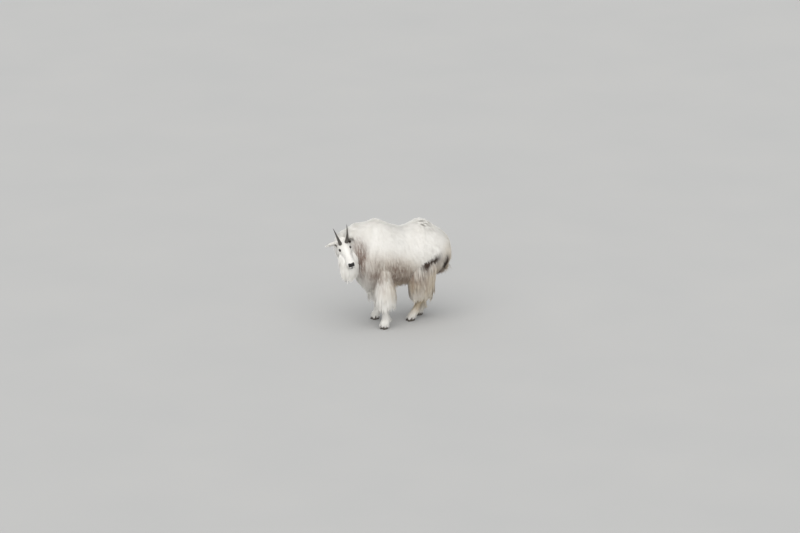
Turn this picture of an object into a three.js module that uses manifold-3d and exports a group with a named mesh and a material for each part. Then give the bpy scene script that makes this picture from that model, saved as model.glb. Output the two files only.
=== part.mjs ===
// A mountain goat standing with its feet gathered and its head turned to look past its left side.
// Millimetres, +Z up. The body points along -X, so the goat's left side faces -Y. The origin is the
// point of the floor under the middle of the whole animal.
import * as THREE from "three";
import { mergeVertices } from "three/addons/utils/BufferGeometryUtils.js";
import Module from "manifold-3d";

const wasm = await Module();
wasm.setup();

const gap = 0.3; // between two parts that meet
const seed = 20; // of the coat's small irregularities

// How far the middle of the whole animal lies from the point between its shoulders and hips
const middle = new THREE.Vector3(-163, 2, 0);

// The trunk, rear to front: x, top, bottom and half width, out to the tips of the coat
const trunkStations = [
  { x: 482, top: 800, bottom: 600, half: 60 },
  { x: 448, top: 875, bottom: 530, half: 135 },
  { x: 370, top: 942, bottom: 495, half: 185 },
  { x: 260, top: 1006, bottom: 480, half: 212 },
  { x: 150, top: 1038, bottom: 455, half: 215 },
  { x: 50, top: 1014, bottom: 430, half: 212 },
  { x: -40, top: 1008, bottom: 425, half: 215 },
  { x: -140, top: 1042, bottom: 435, half: 220 },
  { x: -240, top: 1088, bottom: 445, half: 218 },
  { x: -330, top: 1110, bottom: 445, half: 205 },
  { x: -420, top: 1065, bottom: 440, half: 180 },
  { x: -490, top: 960, bottom: 480, half: 140 },
  { x: -530, top: 860, bottom: 560, half: 70 },
];
const trunkPear = 0.16; // how much narrower the back is than the belly

// The neck, trunk to head: centre, reach of the crest, of the throat and of the sides
const neckStations = [
  { at: [-330, 0, 800], up: 290, down: 230, side: 170 },
  { at: [-450, 20, 825], up: 265, down: 250, side: 160 },
  { at: [-560, 60, 860], up: 212, down: 220, side: 138 },
  { at: [-630, 95, 888], up: 148, down: 180, side: 112 },
  { at: [-664, 72, 903], up: 100, down: 120, side: 80 },
];

// From the core of the coat, half way in, out to its tips: over the back, at the sides and below
const depth = { top: 40, side: 28, below: 56 };
// A lock's outline from root to tip: share of its length, width and thickness
const lockShape = [
  { t: 0, wide: 0.7, thick: 1 },
  { t: 0.34, wide: 1, thick: 1 },
  { t: 0.7, wide: 0.62, thick: 0.8 },
  { t: 1, wide: 0.05, thick: 0.1 },
];
const lockRidge = 0.16; // height of its ridge, as a share of its width
const lockSink = 18; // how deep it is rooted in the core
// Bands of locks along the trunk and neck: angle from the top, the share of the form they cover, how
// many, length, width and rise over the core, how far they lie back and fall, and how freely they hang
const crest = { angle: 0, fall: 0, back: 1, hang: 0 };
const trunkBands = [
  { angle: 33, from: 0.04, to: 0.9, count: 7, length: 240, width: 104, rise: 38, back: 1, fall: 0.7, hang: 0 },
  { angle: 64, from: 0.05, to: 0.94, count: 8, length: 270, width: 100, rise: 30, back: 0.4, fall: 1, hang: 0 },
  { angle: 92, from: 0.04, to: 0.95, count: 8, length: 260, width: 94, rise: 26, back: 0.2, fall: 1, hang: 0.2 },
  { angle: 120, from: 0.08, to: 0.95, count: 8, length: 190, width: 84, rise: 22, back: 0, fall: 1, hang: 0.8 },
];
const trunkCrest = { ...crest, from: 0.04, to: 0.84, count: 13, length: 145, width: 74, rise: 46 };
const neckBands = [
  { angle: 50, from: 0.3, to: 0.95, count: 2, length: 180, width: 96, rise: 30, back: 1, fall: 0.8, hang: 0 },
  { angle: 90, from: 0.3, to: 0.95, count: 2, length: 200, width: 92, rise: 26, back: 0.5, fall: 1, hang: 0.2 },
  { angle: 130, from: 0.3, to: 0.95, count: 2, length: 180, width: 90, rise: 22, back: 0.2, fall: 1, hang: 0.7 },
];
const neckCrest = { ...crest, from: 0.3, to: 0.98, count: 4, length: 150, width: 78, rise: 42 };
// Tiers of hanging locks down the upper legs, the beard and the tail: share of the way down, how many, length, width and rise
const legTiers = [
  { s: 0.2, count: 5, length: 235, width: 90, rise: 27 },
  { s: 0.6, count: 5, length: 132, width: 88, rise: 27 },
];

// The head's own frame: forward along the skull, left, and up from the line of the face
const head = {
  at: new THREE.Vector3(-655, 51, 910), // middle of the back of the skull
  turn: 88, // degrees to the left of the body
  bow: 32, // nose down
  tilt: 16, // left side up
  size: 1.04,
};
// Back of the skull to the muzzle: place forward, top, bottom, half width
const headStations = [
  { f: 0, top: 36, bottom: -50, half: 42 },
  { f: 24, top: 60, bottom: -74, half: 58 },
  { f: 50, top: 69, bottom: -86, half: 64 },
  { f: 75, top: 71, bottom: -89, half: 66 },
  { f: 100, top: 69, bottom: -86, half: 67 },
  { f: 125, top: 64, bottom: -80, half: 63 },
  { f: 150, top: 57, bottom: -71, half: 55 },
  { f: 175, top: 51, bottom: -64, half: 48 },
  { f: 200, top: 46, bottom: -59, half: 43 },
  { f: 225, top: 41, bottom: -57, half: 40 },
  { f: 250, top: 36, bottom: -57, half: 38 },
  { f: 275, top: 30, bottom: -58, half: 38 },
  { f: 298, top: 22, bottom: -54, half: 36 },
  { f: 314, top: 12, bottom: -46, half: 29 },
  { f: 323, top: 0, bottom: -36, half: 16 },
];
// Bulges and hollows of the head, on both sides: place, reach and height
const bulges = [
  { at: [112, 58, 44], reach: 24, height: 7 }, // brow
  { at: [134, 62, 24], reach: 20, height: -7 }, // eye socket
  { at: [128, 56, -2], reach: 24, height: 5 }, // cheek bone
  { at: [85, 62, -30], reach: 40, height: 6 }, // jaw muscle
  { at: [200, 42, -5], reach: 34, height: -4 }, // hollow of the cheek
  { at: [300, 32, 2], reach: 15, height: 4 }, // nostril wing
  { at: [285, 30, -28], reach: 18, height: 3 }, // upper lip
];
const mouth = { front: -34, back: -40, from: 238, width: 2.6, depth: 5 };
const chin = { at: [288, 0, -56], reach: [24, 22, 11] };
const nostril = { at: [311, 18, 3], reach: [11, 9, 4.6], slant: 28 };
const eye = { f: 130, side: 55, up: 26, radius: 15 };
const lid = { thick: 3.2, opening: 7.2, slant: 12, length: 30 };
const ear = { f: 62, side: 58, up: 34, length: 122, width: 36, depth: 20, wall: 5 };
// How far each ear points up from the side of the head, in degrees, and how far its cup faces down
const earPose = { left: { rise: 27, droop: 0.2 }, right: { rise: 7, droop: 1.1 } };
const earShape = [0.55, 0.8, 1, 0.97, 0.8, 0.48, 0.05]; // its width from root to tip
const horn = { f: 84, side: 28, up: 52, length: 215, radius: 20, spread: 11, bend: 62, lean: 14 };

// The beard from the jaw down: place on the jaw, drop below it, reach to the front, back and sides
const beardRoot = -40;
const beardStations = [
  { f: 185, drop: -10, front: 60, back: 50, side: 64 },
  { f: 198, drop: 42, front: 76, back: 55, side: 78 },
  { f: 214, drop: 95, front: 74, back: 55, side: 74 },
  { f: 226, drop: 148, front: 58, back: 45, side: 60 },
  { f: 234, drop: 195, front: 36, back: 28, side: 36 },
  { f: 238, drop: 225, front: 8, back: 8, side: 8 },
];

const beardTiers = [
  { s: 0.2, count: 6, length: 115, width: 60, rise: 16 },
  { s: 0.55, count: 4, length: 110, width: 52, rise: 12 },
];
const beardRoom = { front: 60, side: 26 }; // kept clear of the neck's coat round the beard

// The tail, root to tip
const tailStations = [
  { at: [430, 0, 800], up: 30, down: 30, side: 38 },
  { at: [468, 0, 762], up: 34, down: 30, side: 44 },
  { at: [486, 0, 690], up: 34, down: 30, side: 44 },
  { at: [484, 0, 610], up: 26, down: 26, side: 34 },
  { at: [474, 0, 540], up: 10, down: 10, side: 14 },
];

const tailTiers = [{ s: 0.35, count: 5, length: 190, width: 44, rise: 10 }];

// Each leg: joints of its middle line, the middle of its foot, and the foot's turn to the left
const legs = {
  front_left: {
    side: -1,
    turn: 30,
    top: [-268, -122, 540],
    joint: [-255, -140, 310],
    fetlock: [-256, -144, 92],
    foot: [-283, -160],
  },
  front_right: {
    side: 1,
    turn: 12,
    top: [-240, 122, 540],
    joint: [-212, 146, 310],
    fetlock: [-206, 158, 92],
    foot: [-238, 160],
  },
  hind_left: {
    hind: true,
    side: -1,
    turn: 6,
    top: [150, -118, 600],
    joint: [190, -74, 272],
    fetlock: [104, -44, 92],
    foot: [60, -40],
  },
  hind_right: {
    hind: true,
    side: 1,
    turn: -8,
    top: [205, 112, 600],
    joint: [300, 96, 276],
    fetlock: [252, 96, 92],
    foot: [212, 98],
  },
};
// The hair round the upper leg: share of the way from its top to its hem, reach ahead, behind and aside
const chaps = [
  { t: -0.2, ahead: 70, behind: 80, side: 55 },
  { t: 0, ahead: 95, behind: 105, side: 88 },
  { t: 0.5, ahead: 110, behind: 116, side: 102 },
  { t: 1, ahead: 100, behind: 106, side: 94 },
  { t: 1.06, ahead: 60, behind: 60, side: 60 },
];
const trousers = [
  { t: -0.1, ahead: 140, behind: 150, side: 60 },
  { t: 0, ahead: 170, behind: 165, side: 100 },
  { t: 0.5, ahead: 168, behind: 132, side: 105 },
  { t: 1, ahead: 138, behind: 92, side: 85 },
  { t: 1.06, ahead: 70, behind: 50, side: 50 },
];
const hem = { front: 50, hind: 5 }; // how far the core of this hair hangs below the knee or hock
// The lower leg, joint to hoof: share of the way down to the fetlock, reach ahead, behind and aside
const cannon = [
  { t: 0, ahead: 38, behind: 41, side: 38 },
  { t: 0.35, ahead: 36, behind: 39, side: 35 },
  { t: 0.75, ahead: 37, behind: 40, side: 35 },
  { t: 1, ahead: 42, behind: 46, side: 42 },
];
const pastern = { ahead: 43, behind: 42, side: 42, coronet: 48, peg: 34 };
const hoof = { length: 82, width: 33, height: 46, apart: 37, sides: 8 };
const dewclaw = { radius: 10, length: 24, behind: 26, aside: 19 };

// Where the coat is parted: the neck's plane, and the blocks that hold the upper legs
const cuts = {
  neck: { x: -440, z: 800, lean: -12 },
  front: { x: [-400, -110], z: 520 },
  hind: { x: [10, 420], z: 560 },
};

const colours = {
  coat: new THREE.MeshStandardMaterial({ color: 0xe9e5dd, roughness: 0.9, metalness: 0 }),
  lowerCoat: new THREE.MeshStandardMaterial({ color: 0xdcd2c2, roughness: 0.9, metalness: 0 }),
  face: new THREE.MeshStandardMaterial({ color: 0xefece6, roughness: 0.85, metalness: 0 }),
  horn: new THREE.MeshStandardMaterial({ color: 0x2b2826, roughness: 0.5, metalness: 0 }),
  hoof: new THREE.MeshStandardMaterial({ color: 0x3a3632, roughness: 0.6, metalness: 0 }),
  eye: new THREE.MeshStandardMaterial({ color: 0x2a1c12, roughness: 0.1, metalness: 0 }),
};

const rad = THREE.MathUtils.degToRad;
const lerp = THREE.MathUtils.lerp;
const vec = (p) => new THREE.Vector3(...p);
const down = new THREE.Vector3(0, 0, -1);
const ahead = new THREE.Vector3(-1, 0, 0);

THREE.MathUtils.seededRandom(seed);
const random = (low, high) => lerp(low, high, THREE.MathUtils.seededRandom());

// Value at share s of a smooth curve through evenly spaced numbers
function spline(values, s) {
  const last = values.length - 1;
  const along = THREE.MathUtils.clamp(s, 0, 1) * last;
  const i = Math.min(Math.floor(along), last - 1);
  const t = along - i;
  const [a, b, c, d] = [-1, 0, 1, 2].map((k) => values[THREE.MathUtils.clamp(i + k, 0, last)]);
  return 0.5 * (2 * b + (c - a) * t + (2 * a - 5 * b + 4 * c - d) * t * t + (3 * b - a - 3 * c + d) * t ** 3);
}

// A rounded form: cross-sections along a smooth path. Each section reaches up, down and to both sides
// of its centre, and pear narrows its upper half.
class Form {
  constructor(stations, { upward = [0, 0, 1], facing = null, pear = 0 } = {}) {
    this.stations = stations;
    this.upward = vec(upward);
    this.facing = facing && vec(facing);
    this.pear = pear;
  }
  value(key, s) {
    return spline(this.stations.map((st) => st[key]), s);
  }
  centre(s) {
    return new THREE.Vector3(...[0, 1, 2].map((k) => spline(this.stations.map((st) => st.at[k]), s)));
  }
  // Directions of the path, of up and of the left side at share s
  frame(s) {
    const step = 0.01;
    const behind = this.centre(Math.max(s - step, 0));
    const along = this.facing ?? this.centre(Math.min(s + step, 1)).sub(behind).normalize();
    const up = this.upward.clone().addScaledVector(along, -this.upward.dot(along)).normalize();
    return { along, up, left: up.clone().cross(along) };
  }
  // Point of the surface at this angle from the top, round over the left
  point(s, angle, grow = 0) {
    const { up, left } = this.frame(s);
    const c = Math.cos(angle);
    const reach = this.value(c > 0 ? "up" : "down", s) + grow;
    const side = (this.value("side", s) + grow) * (1 - this.pear * c);
    return this.centre(s).addScaledVector(up, reach * c).addScaledVector(left, side * Math.sin(angle));
  }
  normal(s, angle) {
    const step = 0.02;
    const low = Math.max(s - step, 0);
    const high = Math.min(s + step, 1);
    const along = this.point(high, angle).sub(this.point(low, angle));
    const round = this.point(s, angle + step).sub(this.point(s, angle - step));
    return round.cross(along).normalize();
  }
  // Closed solid of the form with this many sides and rings, grown all round and at both ends
  solid(sides, rings, grow = 0) {
    const rows = Array.from({ length: rings + 1 }, (_, row) => {
      const s = row / rings;
      const end = (row === rings ? grow : 0) - (row === 0 ? grow : 0);
      return Array.from({ length: sides }, (_, k) =>
        this.point(s, (2 * Math.PI * k) / sides, grow).addScaledVector(this.frame(s).along, end),
      );
    });
    return solid(loft(rows));
  }
}

// Closed mesh through rings of points, from a cylinder whose corners are moved to them
function loft(rings) {
  const sides = rings[0].length;
  const skin = new THREE.CylinderGeometry(1, 1, 1, sides, rings.length - 1);
  const place = skin.getAttribute("position");
  for (let i = 0; i < place.count; i++) {
    const ring = rings[Math.round((0.5 - place.getY(i)) * (rings.length - 1))];
    const turn = Math.atan2(place.getX(i), place.getZ(i)) / (2 * Math.PI);
    const p = new THREE.Vector3();
    if (Math.hypot(place.getX(i), place.getZ(i)) < 0.5) ring.forEach((q) => p.addScaledVector(q, 1 / sides));
    else p.copy(ring[(Math.round(turn * sides) + sides) % sides]);
    place.setXYZ(i, p.x, p.y, p.z);
  }
  return skin;
}

// A three.js mesh geometry as a solid that can be joined and cut
function solid(geometry) {
  const bare = geometry.clone();
  bare.deleteAttribute("normal");
  bare.deleteAttribute("uv");
  const merged = mergeVertices(bare, 1e-3);
  return new wasm.Manifold(
    new wasm.Mesh({
      numProp: 3,
      vertProperties: new Float32Array(merged.getAttribute("position").array),
      triVerts: new Uint32Array(merged.index.array),
    }),
  );
}

// The largest closed piece of a solid, without hollows or loose scraps
function whole(made) {
  return made.decompose().sort((a, b) => b.volume() - a.volume())[0];
}

function meshOf(name, made, material) {
  const { vertProperties, triVerts } = whole(made).getMesh();
  const geometry = new THREE.BufferGeometry();
  geometry.setAttribute("position", new THREE.BufferAttribute(vertProperties, 3));
  geometry.setIndex(new THREE.BufferAttribute(triVerts, 1));
  geometry.computeVertexNormals();
  const mesh = new THREE.Mesh(geometry, material);
  mesh.name = name;
  return mesh;
}

// A sphere stretched along three directions
function egg(at, axes, reach, segments = [12, 9]) {
  const ball = new THREE.SphereGeometry(1, ...segments);
  const basis = new THREE.Matrix4().makeBasis(...axes.map((a, k) => a.clone().multiplyScalar(reach[k])));
  return solid(ball.applyMatrix4(basis.setPosition(at)));
}

// A box between two corners, with a matrix to place it
function block(low, high, grow, place = new THREE.Matrix4()) {
  const size = high.map((v, k) => v - low[k] + 2 * grow);
  const box = new THREE.BoxGeometry(...size).translate(...low.map((v, k) => (v + high[k]) / 2));
  return solid(box.applyMatrix4(place));
}

// One flat, tapered lock through the given places, each with its outward direction
function lock(places, width) {
  const last = places.length - 1;
  const rings = places.map(({ at, out }, k) => {
    const along = places[Math.min(k + 1, last)].at.clone().sub(places[Math.max(k - 1, 0)].at);
    const across = along.clone().cross(out).normalize();
    const up = across.clone().cross(along).normalize();
    const { wide, thick } = lockShape[k];
    const ridge = width * lockRidge * thick;
    const edge = at.clone().addScaledVector(up, -ridge / 2);
    return [
      at.clone().addScaledVector(up, ridge),
      edge.clone().addScaledVector(across, (-width * wide) / 2),
      edge.clone().addScaledVector(across, (width * wide) / 2),
    ];
  });
  return solid(loft(rings));
}

// A lock rooted on a form. It follows the form along its lie, as far as hang lets it, or falls freely,
// and rises from inside the core to its full height.
function rootedLock(form, s, turn, { lie, length, width, rise, hang }) {
  const step = 0.01;
  const forth = form.point(s + step, turn).sub(form.point(s - step, turn)).divideScalar(2 * step);
  const round = form.point(s, turn + step).sub(form.point(s, turn - step)).divideScalar(2 * step);
  const root = form.point(s, turn);
  const normal = form.normal(s, turn);
  const flat = lie.clone().addScaledVector(normal, -lie.dot(normal)).normalize();
  const slide = flat.dot(forth) / forth.lengthSq();
  const swing = flat.dot(round) / round.lengthSq();
  const places = lockShape.map(({ t }) => {
    const far = length * t;
    const there = [THREE.MathUtils.clamp(s + slide * far, 0.01, 0.99), turn + swing * far];
    const hug = form.point(...there);
    const free = root.clone().addScaledVector(flat, far * 0.3).addScaledVector(down, far * 0.7);
    const out = form.normal(...there).lerp(normal, hang).normalize();
    const high = lerp(-lockSink, rise, Math.sin((t * Math.PI) / 2));
    return { at: hug.lerp(free, hang * t).addScaledVector(out, high), out };
  });
  return lock(places, width);
}

// Bands of locks over a form, each at an angle from the top and spread along the form
function locksOver(form, bands) {
  return bands.flatMap(({ angle, from, to, count, length, width, rise, back, fall, hang }, band) =>
    Array.from({ length: count }, (_, k) => {
      const s = lerp(from, to, (k + 0.5 + (band % 2 ? 0.25 : -0.25)) / count) + random(-0.008, 0.008);
      const lie = ahead.clone().multiplyScalar(-back).addScaledVector(down, fall);
      return rootedLock(form, s, rad(angle + random(-4, 4)), {
        lie: lie.add(new THREE.Vector3(random(-0.15, 0.15), random(-0.15, 0.15), 0)),
        length: length * random(0.86, 1.14),
        width: width * random(0.9, 1.1),
        rise: rise * random(0.85, 1.1),
        hang,
      });
    }),
  );
}
// Tiers of locks that hang straight down round a form, with the core's depth under their tips
function hangingLocks(form, tiers, sink = lockSink) {
  return tiers.flatMap(({ s, count, length, width, rise }, tier) =>
    Array.from({ length: count }, (_, k) => {
      const angle = (2 * Math.PI * (k + tier / 2)) / count + random(-0.1, 0.1);
      const out = form.normal(s, angle).setZ(0).normalize();
      const root = form.point(s, angle);
      const size = length * random(0.88, 1.1);
      const places = lockShape.map(({ t }) => {
        const high = lerp(-sink, rise, Math.sin((t * Math.PI) / 2));
        return { at: root.clone().addScaledVector(down, size * t).addScaledVector(out, high), out };
      });
      return lock(places, width * random(0.9, 1.1));
    }),
  );
}
const bothSides = (bands) => bands.flatMap((band) => [band, { ...band, angle: -band.angle }]);

const heading = ahead.toArray();
// Trunk and neck with the coat's outer depth taken off
const trunk = new Form(
  trunkStations.map(({ x, top, bottom, half }) => ({
    at: [x, 0, (top - depth.top + bottom + depth.below) / 2],
    up: (top - depth.top - bottom - depth.below) / 2,
    down: (top - depth.top - bottom - depth.below) / 2,
    side: half - depth.side,
  })),
  { facing: heading, pear: trunkPear },
);
const neck = new Form(
  neckStations.map(({ at, up, down: under, side }) => ({
    at,
    up: up - depth.top,
    down: under - depth.below,
    side: side - depth.side,
  })),
);

// The head's directions in the body
function headAxes() {
  const [turn, bow, tilt] = [head.turn, head.bow, head.tilt].map(rad);
  const level = new THREE.Vector3(-Math.cos(turn), -Math.sin(turn), 0);
  const left = new THREE.Vector3(Math.sin(turn), -Math.cos(turn), 0);
  const forward = level.clone().multiplyScalar(Math.cos(bow)).addScaledVector(down, Math.sin(bow));
  const crown = level.clone().multiplyScalar(Math.sin(bow)).addScaledVector(down, -Math.cos(bow));
  const side = left.clone().multiplyScalar(Math.cos(tilt)).addScaledVector(crown, Math.sin(tilt));
  const top = crown.clone().multiplyScalar(Math.cos(tilt)).addScaledVector(left, -Math.sin(tilt));
  return [forward, side, top];
}
const faceAxes = headAxes();
const [forward, headLeft, headUp] = faceAxes;
function onHead(f, l, u) {
  return head.at
    .clone()
    .addScaledVector(forward, f * head.size)
    .addScaledVector(headLeft, l * head.size)
    .addScaledVector(headUp, u * head.size);
}
class Skull extends Form {
  point(s, angle, grow = 0) {
    const p = super.point(s, angle, grow);
    const out = p.clone().sub(this.centre(s)).normalize();
    for (const { at, reach, height } of bulges) {
      for (const side of [-1, 1]) {
        const far = p.distanceTo(onHead(at[0], side * at[1], at[2])) / (reach * head.size);
        p.addScaledVector(out, height * Math.exp(-far * far));
      }
    }
    return p;
  }
}
const skull = new Skull(
  headStations.map(({ f, top, bottom, half }) => ({
    at: onHead(f, 0, (top + bottom) / 2).toArray(),
    up: ((top - bottom) / 2) * head.size,
    down: ((top - bottom) / 2) * head.size,
    side: half * head.size,
  })),
  { upward: headUp.toArray(), facing: forward.toArray() },
);
const headFrame = new THREE.Matrix4()
  .makeBasis(...faceAxes.map((a) => a.clone().multiplyScalar(head.size)))
  .setPosition(head.at);

const parts = new THREE.Group();
const skullSides = 18;
const skullRings = 18;
const headRoom = skull.solid(skullSides, skullRings, gap);
let headSolid = skull.solid(skullSides, skullRings).add(egg(onHead(...chin.at), faceAxes, chin.reach));
let aroundHead = headRoom.add(egg(onHead(...chin.at), faceAxes, chin.reach.map((r) => r + gap)));

// The line of the mouth is a groove round the muzzle
const mouthLow = [mouth.from, -100, -mouth.width / 2];
const mouthHigh = [340, 100, mouth.width / 2];
const mouthSlope = Math.atan2(mouth.front - mouth.back, 315 - mouth.from);
const mouthPlace = headFrame
  .clone()
  .multiply(new THREE.Matrix4().makeTranslation(mouth.from, 0, mouth.back))
  .multiply(new THREE.Matrix4().makeRotationY(-mouthSlope))
  .multiply(new THREE.Matrix4().makeTranslation(-mouth.from, 0, 0));
const mouthCut = block(mouthLow, mouthHigh, 0, mouthPlace);
headSolid = headSolid.subtract(mouthCut.subtract(skull.solid(10, 8, -mouth.depth)));

// Eyes with lids, nostrils, ears and horns, one of each to a side
for (const [name, side] of [["left", 1], ["right", -1]]) {
  const outward = headLeft.clone().multiplyScalar(side);
  const centre = onHead(eye.f, side * eye.side, eye.up);
  const ball = (grow) => egg(centre, faceAxes, faceAxes.map(() => eye.radius * head.size + grow), [12, 8]);
  const slit = new THREE.Matrix4().makeRotationAxis(headLeft, rad(side * lid.slant));
  const slitAxes = faceAxes.map((a) => a.clone().applyMatrix4(slit));
  const slitAt = centre.clone().addScaledVector(outward, eye.radius);
  const opening = egg(slitAt, slitAxes, [lid.length / 2, eye.radius, lid.opening]);
  headSolid = headSolid.add(ball(lid.thick)).subtract(opening).subtract(ball(gap));
  aroundHead = aroundHead.add(ball(lid.thick + gap));
  parts.add(meshOf(`eye_${name}`, ball(0), colours.eye));

  const slant = new THREE.Matrix4().makeRotationAxis(forward, rad(side * nostril.slant));
  const nostrilAxes = faceAxes.map((a) => a.clone().applyMatrix4(slant));
  const [nf, nl, nu] = nostril.at;
  headSolid = headSolid.subtract(egg(onHead(nf, side * nl, nu), nostrilAxes, nostril.reach, [8, 6]));

  const rise = rad(earPose[name].rise);
  const out = outward.clone().multiplyScalar(Math.cos(rise)).addScaledVector(headUp, Math.sin(rise));
  out.addScaledVector(forward, -0.12).normalize();
  const open = forward.clone().addScaledVector(headUp, -earPose[name].droop).normalize();
  const root = onHead(ear.f, side * ear.side, ear.up);
  const earForm = (inset) =>
    new Form(
      earShape.map((wide, k) => {
        const along = (k / (earShape.length - 1)) * (ear.length - inset) - 22 + inset;
        const shift = inset ? ear.depth * 0.9 : 0;
        return {
          at: root.clone().addScaledVector(out, along * head.size).addScaledVector(open, shift).toArray(),
          up: Math.max(ear.depth * wide - inset / 2, 1),
          down: Math.max(ear.depth * wide - inset / 2, 1),
          side: Math.max(ear.width * wide - inset, 1),
        };
      }),
      { upward: open.toArray(), facing: out.toArray() },
    );
  const cup = earForm(ear.wall).solid(8, 6);
  const outer = earForm(0);
  parts.add(meshOf(`ear_${name}`, outer.solid(10, 7).subtract(headRoom).subtract(cup), colours.face));
  aroundHead = aroundHead.add(outer.solid(10, 7, gap));

  const radius = (horn.length * head.size) / rad(horn.bend);
  const lean = rad(horn.lean);
  const hornRoot = onHead(horn.f, side * horn.side, horn.up);
  const hornForm = new Form(
    [0, 0.2, 0.4, 0.6, 0.8, 1].map((t) => {
      const angle = rad(horn.bend) * t - lean;
      const back = radius * (Math.cos(lean) - Math.cos(angle));
      const high = radius * (Math.sin(angle) + Math.sin(lean));
      const wide = Math.tan(rad(horn.spread)) * horn.length * t;
      const r = horn.radius * head.size * (1 - 0.9 * t ** 1.2);
      const at = hornRoot.clone().addScaledVector(forward, -back).addScaledVector(headUp, high);
      return { at: at.addScaledVector(outward, wide).toArray(), up: r, down: r, side: r };
    }),
    { upward: forward.toArray() },
  );
  parts.add(meshOf(`horn_${name}`, hornForm.solid(8, 10).subtract(headRoom), colours.horn));
  aroundHead = aroundHead.add(hornForm.solid(8, 10, gap));
}

// Beard of hanging locks under the jaw, in a room kept clear of the neck's coat
const beardForm = (share, extra) =>
  new Form(
    beardStations.map(({ f, drop, front, back, side }) => ({
      at: onHead(f, 0, beardRoot).addScaledVector(down, drop * (share === 1 ? 1 : 0.8)).toArray(),
      up: front * share + extra.front,
      down: back * share,
      side: side * share + extra.side,
    })),
    { upward: [0, -1, 0], facing: down.toArray() },
  );
const beardCore = beardForm(0.72, { front: 0, side: 0 });
const beardSpace = beardForm(1, beardRoom);
const beard = wasm.Manifold.union([beardCore.solid(10, 6), ...hangingLocks(beardCore, beardTiers, 10)]);
parts.add(meshOf("beard", beard.intersect(beardSpace.solid(12, 6)).subtract(aroundHead), colours.coat));
parts.add(meshOf("head", headSolid, colours.face));
aroundHead = aroundHead.add(beardSpace.solid(12, 6, gap));

// The coat's core and its locks
let coat = wasm.Manifold.union([
  trunk.solid(16, 15),
  neck.solid(14, 7),
  ...locksOver(trunk, [trunkCrest, ...bothSides(trunkBands)]),
  ...locksOver(neck, [neckCrest, ...bothSides(neckBands)]),
]);

// Legs, each with two claws to the foot
for (const [name, leg] of Object.entries(legs)) {
  const top = vec(leg.top);
  const joint = vec(leg.joint);
  const fetlock = vec(leg.fetlock);
  const foot = new THREE.Vector3(...leg.foot, 0);
  const end = joint.clone().addScaledVector(down, leg.hind ? hem.hind : hem.front);
  const step = new THREE.Vector3(-Math.cos(rad(leg.turn)), -Math.sin(rad(leg.turn)), 0);
  const aside = new THREE.Vector3(step.y, -step.x, 0);
  const skirt = new Form(
    (leg.hind ? trousers : chaps).map(({ t, ahead: front, behind, side }) => ({
      at: top.clone().lerp(end, t).toArray(),
      up: front - depth.side,
      down: behind - depth.side,
      side: side - depth.side,
    })),
    { upward: heading, facing: down.toArray() },
  );
  coat = wasm.Manifold.union([coat, skirt.solid(12, 6), ...hangingLocks(skirt, legTiers)]);

  const coronet = fetlock.clone().lerp(foot, 0.62).setZ(pastern.coronet);
  const shank = new Form(
    [
      ...cannon.map(({ t, ahead: front, behind, side }) => (
        { at: joint.clone().lerp(fetlock, t).toArray(), up: front, down: behind, side }
      )),
      ...[fetlock.clone().lerp(coronet, 0.5), coronet].map((at) => (
        { at: at.toArray(), up: pastern.ahead, down: pastern.behind, side: pastern.side }
      )),
      { at: foot.clone().addScaledVector(step, -4).setZ(pastern.peg).toArray(), up: 20, down: 20, side: 22 },
    ],
    { upward: heading, facing: down.toArray() },
  );
  const shankRoom = shank.solid(9, 8, gap);
  let shankSolid = shank.solid(9, 8);
  coat = coat.subtract(shankRoom);

  for (const [place, side] of [["outer", leg.side], ["inner", -leg.side]]) {
    const rows = [1, 0].map((t) =>
      Array.from({ length: hoof.sides }, (_, k) => {
        const angle = (2 * Math.PI * k) / hoof.sides;
        const c = Math.cos(angle);
        const toe = 1 - 0.35 * Math.max(c, 0) ** 2;
        const fore = c * hoof.length * (0.5 - 0.08 * t) - 10 * t;
        const out = (side * hoof.apart) / 2 - Math.sin(angle) * hoof.width * (0.5 - 0.04 * t) * toe;
        const high = hoof.height * t * (c < 0 ? 0.8 : 1);
        return foot.clone().addScaledVector(step, fore).addScaledVector(aside, out).setZ(high);
      }),
    );
    parts.add(meshOf(`hoof_${name}_${place}`, solid(loft(rows)).subtract(shankRoom), colours.hoof));

    const claw = new Form(
      [0, 0.5, 1].map((t) => {
        const r = dewclaw.radius * (1 - 0.4 * t);
        const at = fetlock.clone().addScaledVector(step, -dewclaw.behind - 16 * t);
        at.addScaledVector(aside, side * dewclaw.aside).addScaledVector(down, 6 + dewclaw.length * t);
        return { at: at.toArray(), up: r, down: r, side: r };
      }),
      { upward: heading, facing: down.toArray() },
    );
    shankSolid = shankSolid.add(claw.solid(6, 2));
  }
  parts.add(meshOf(`lower_leg_${name}`, shankSolid, colours.face));
}

// The tail, in a room kept clear of the trunk's coat
const tailForm = (share) =>
  new Form(
    tailStations.map(({ at, up, down: under, side }) => (
      { at, up: up * share, down: under * share, side: side * share }
    )),
    { upward: [1, 0, 0] },
  );
const tailLocks = hangingLocks(tailForm(0.7), tailTiers, 8);
const tail = wasm.Manifold.union([tailForm(0.7).solid(8, 7), ...tailLocks]);
parts.add(meshOf("tail", tail.intersect(tailForm(1.3).solid(10, 8)), colours.coat));
coat = coat.subtract(tailForm(1.3).solid(10, 8, gap)).subtract(aroundHead);

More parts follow.
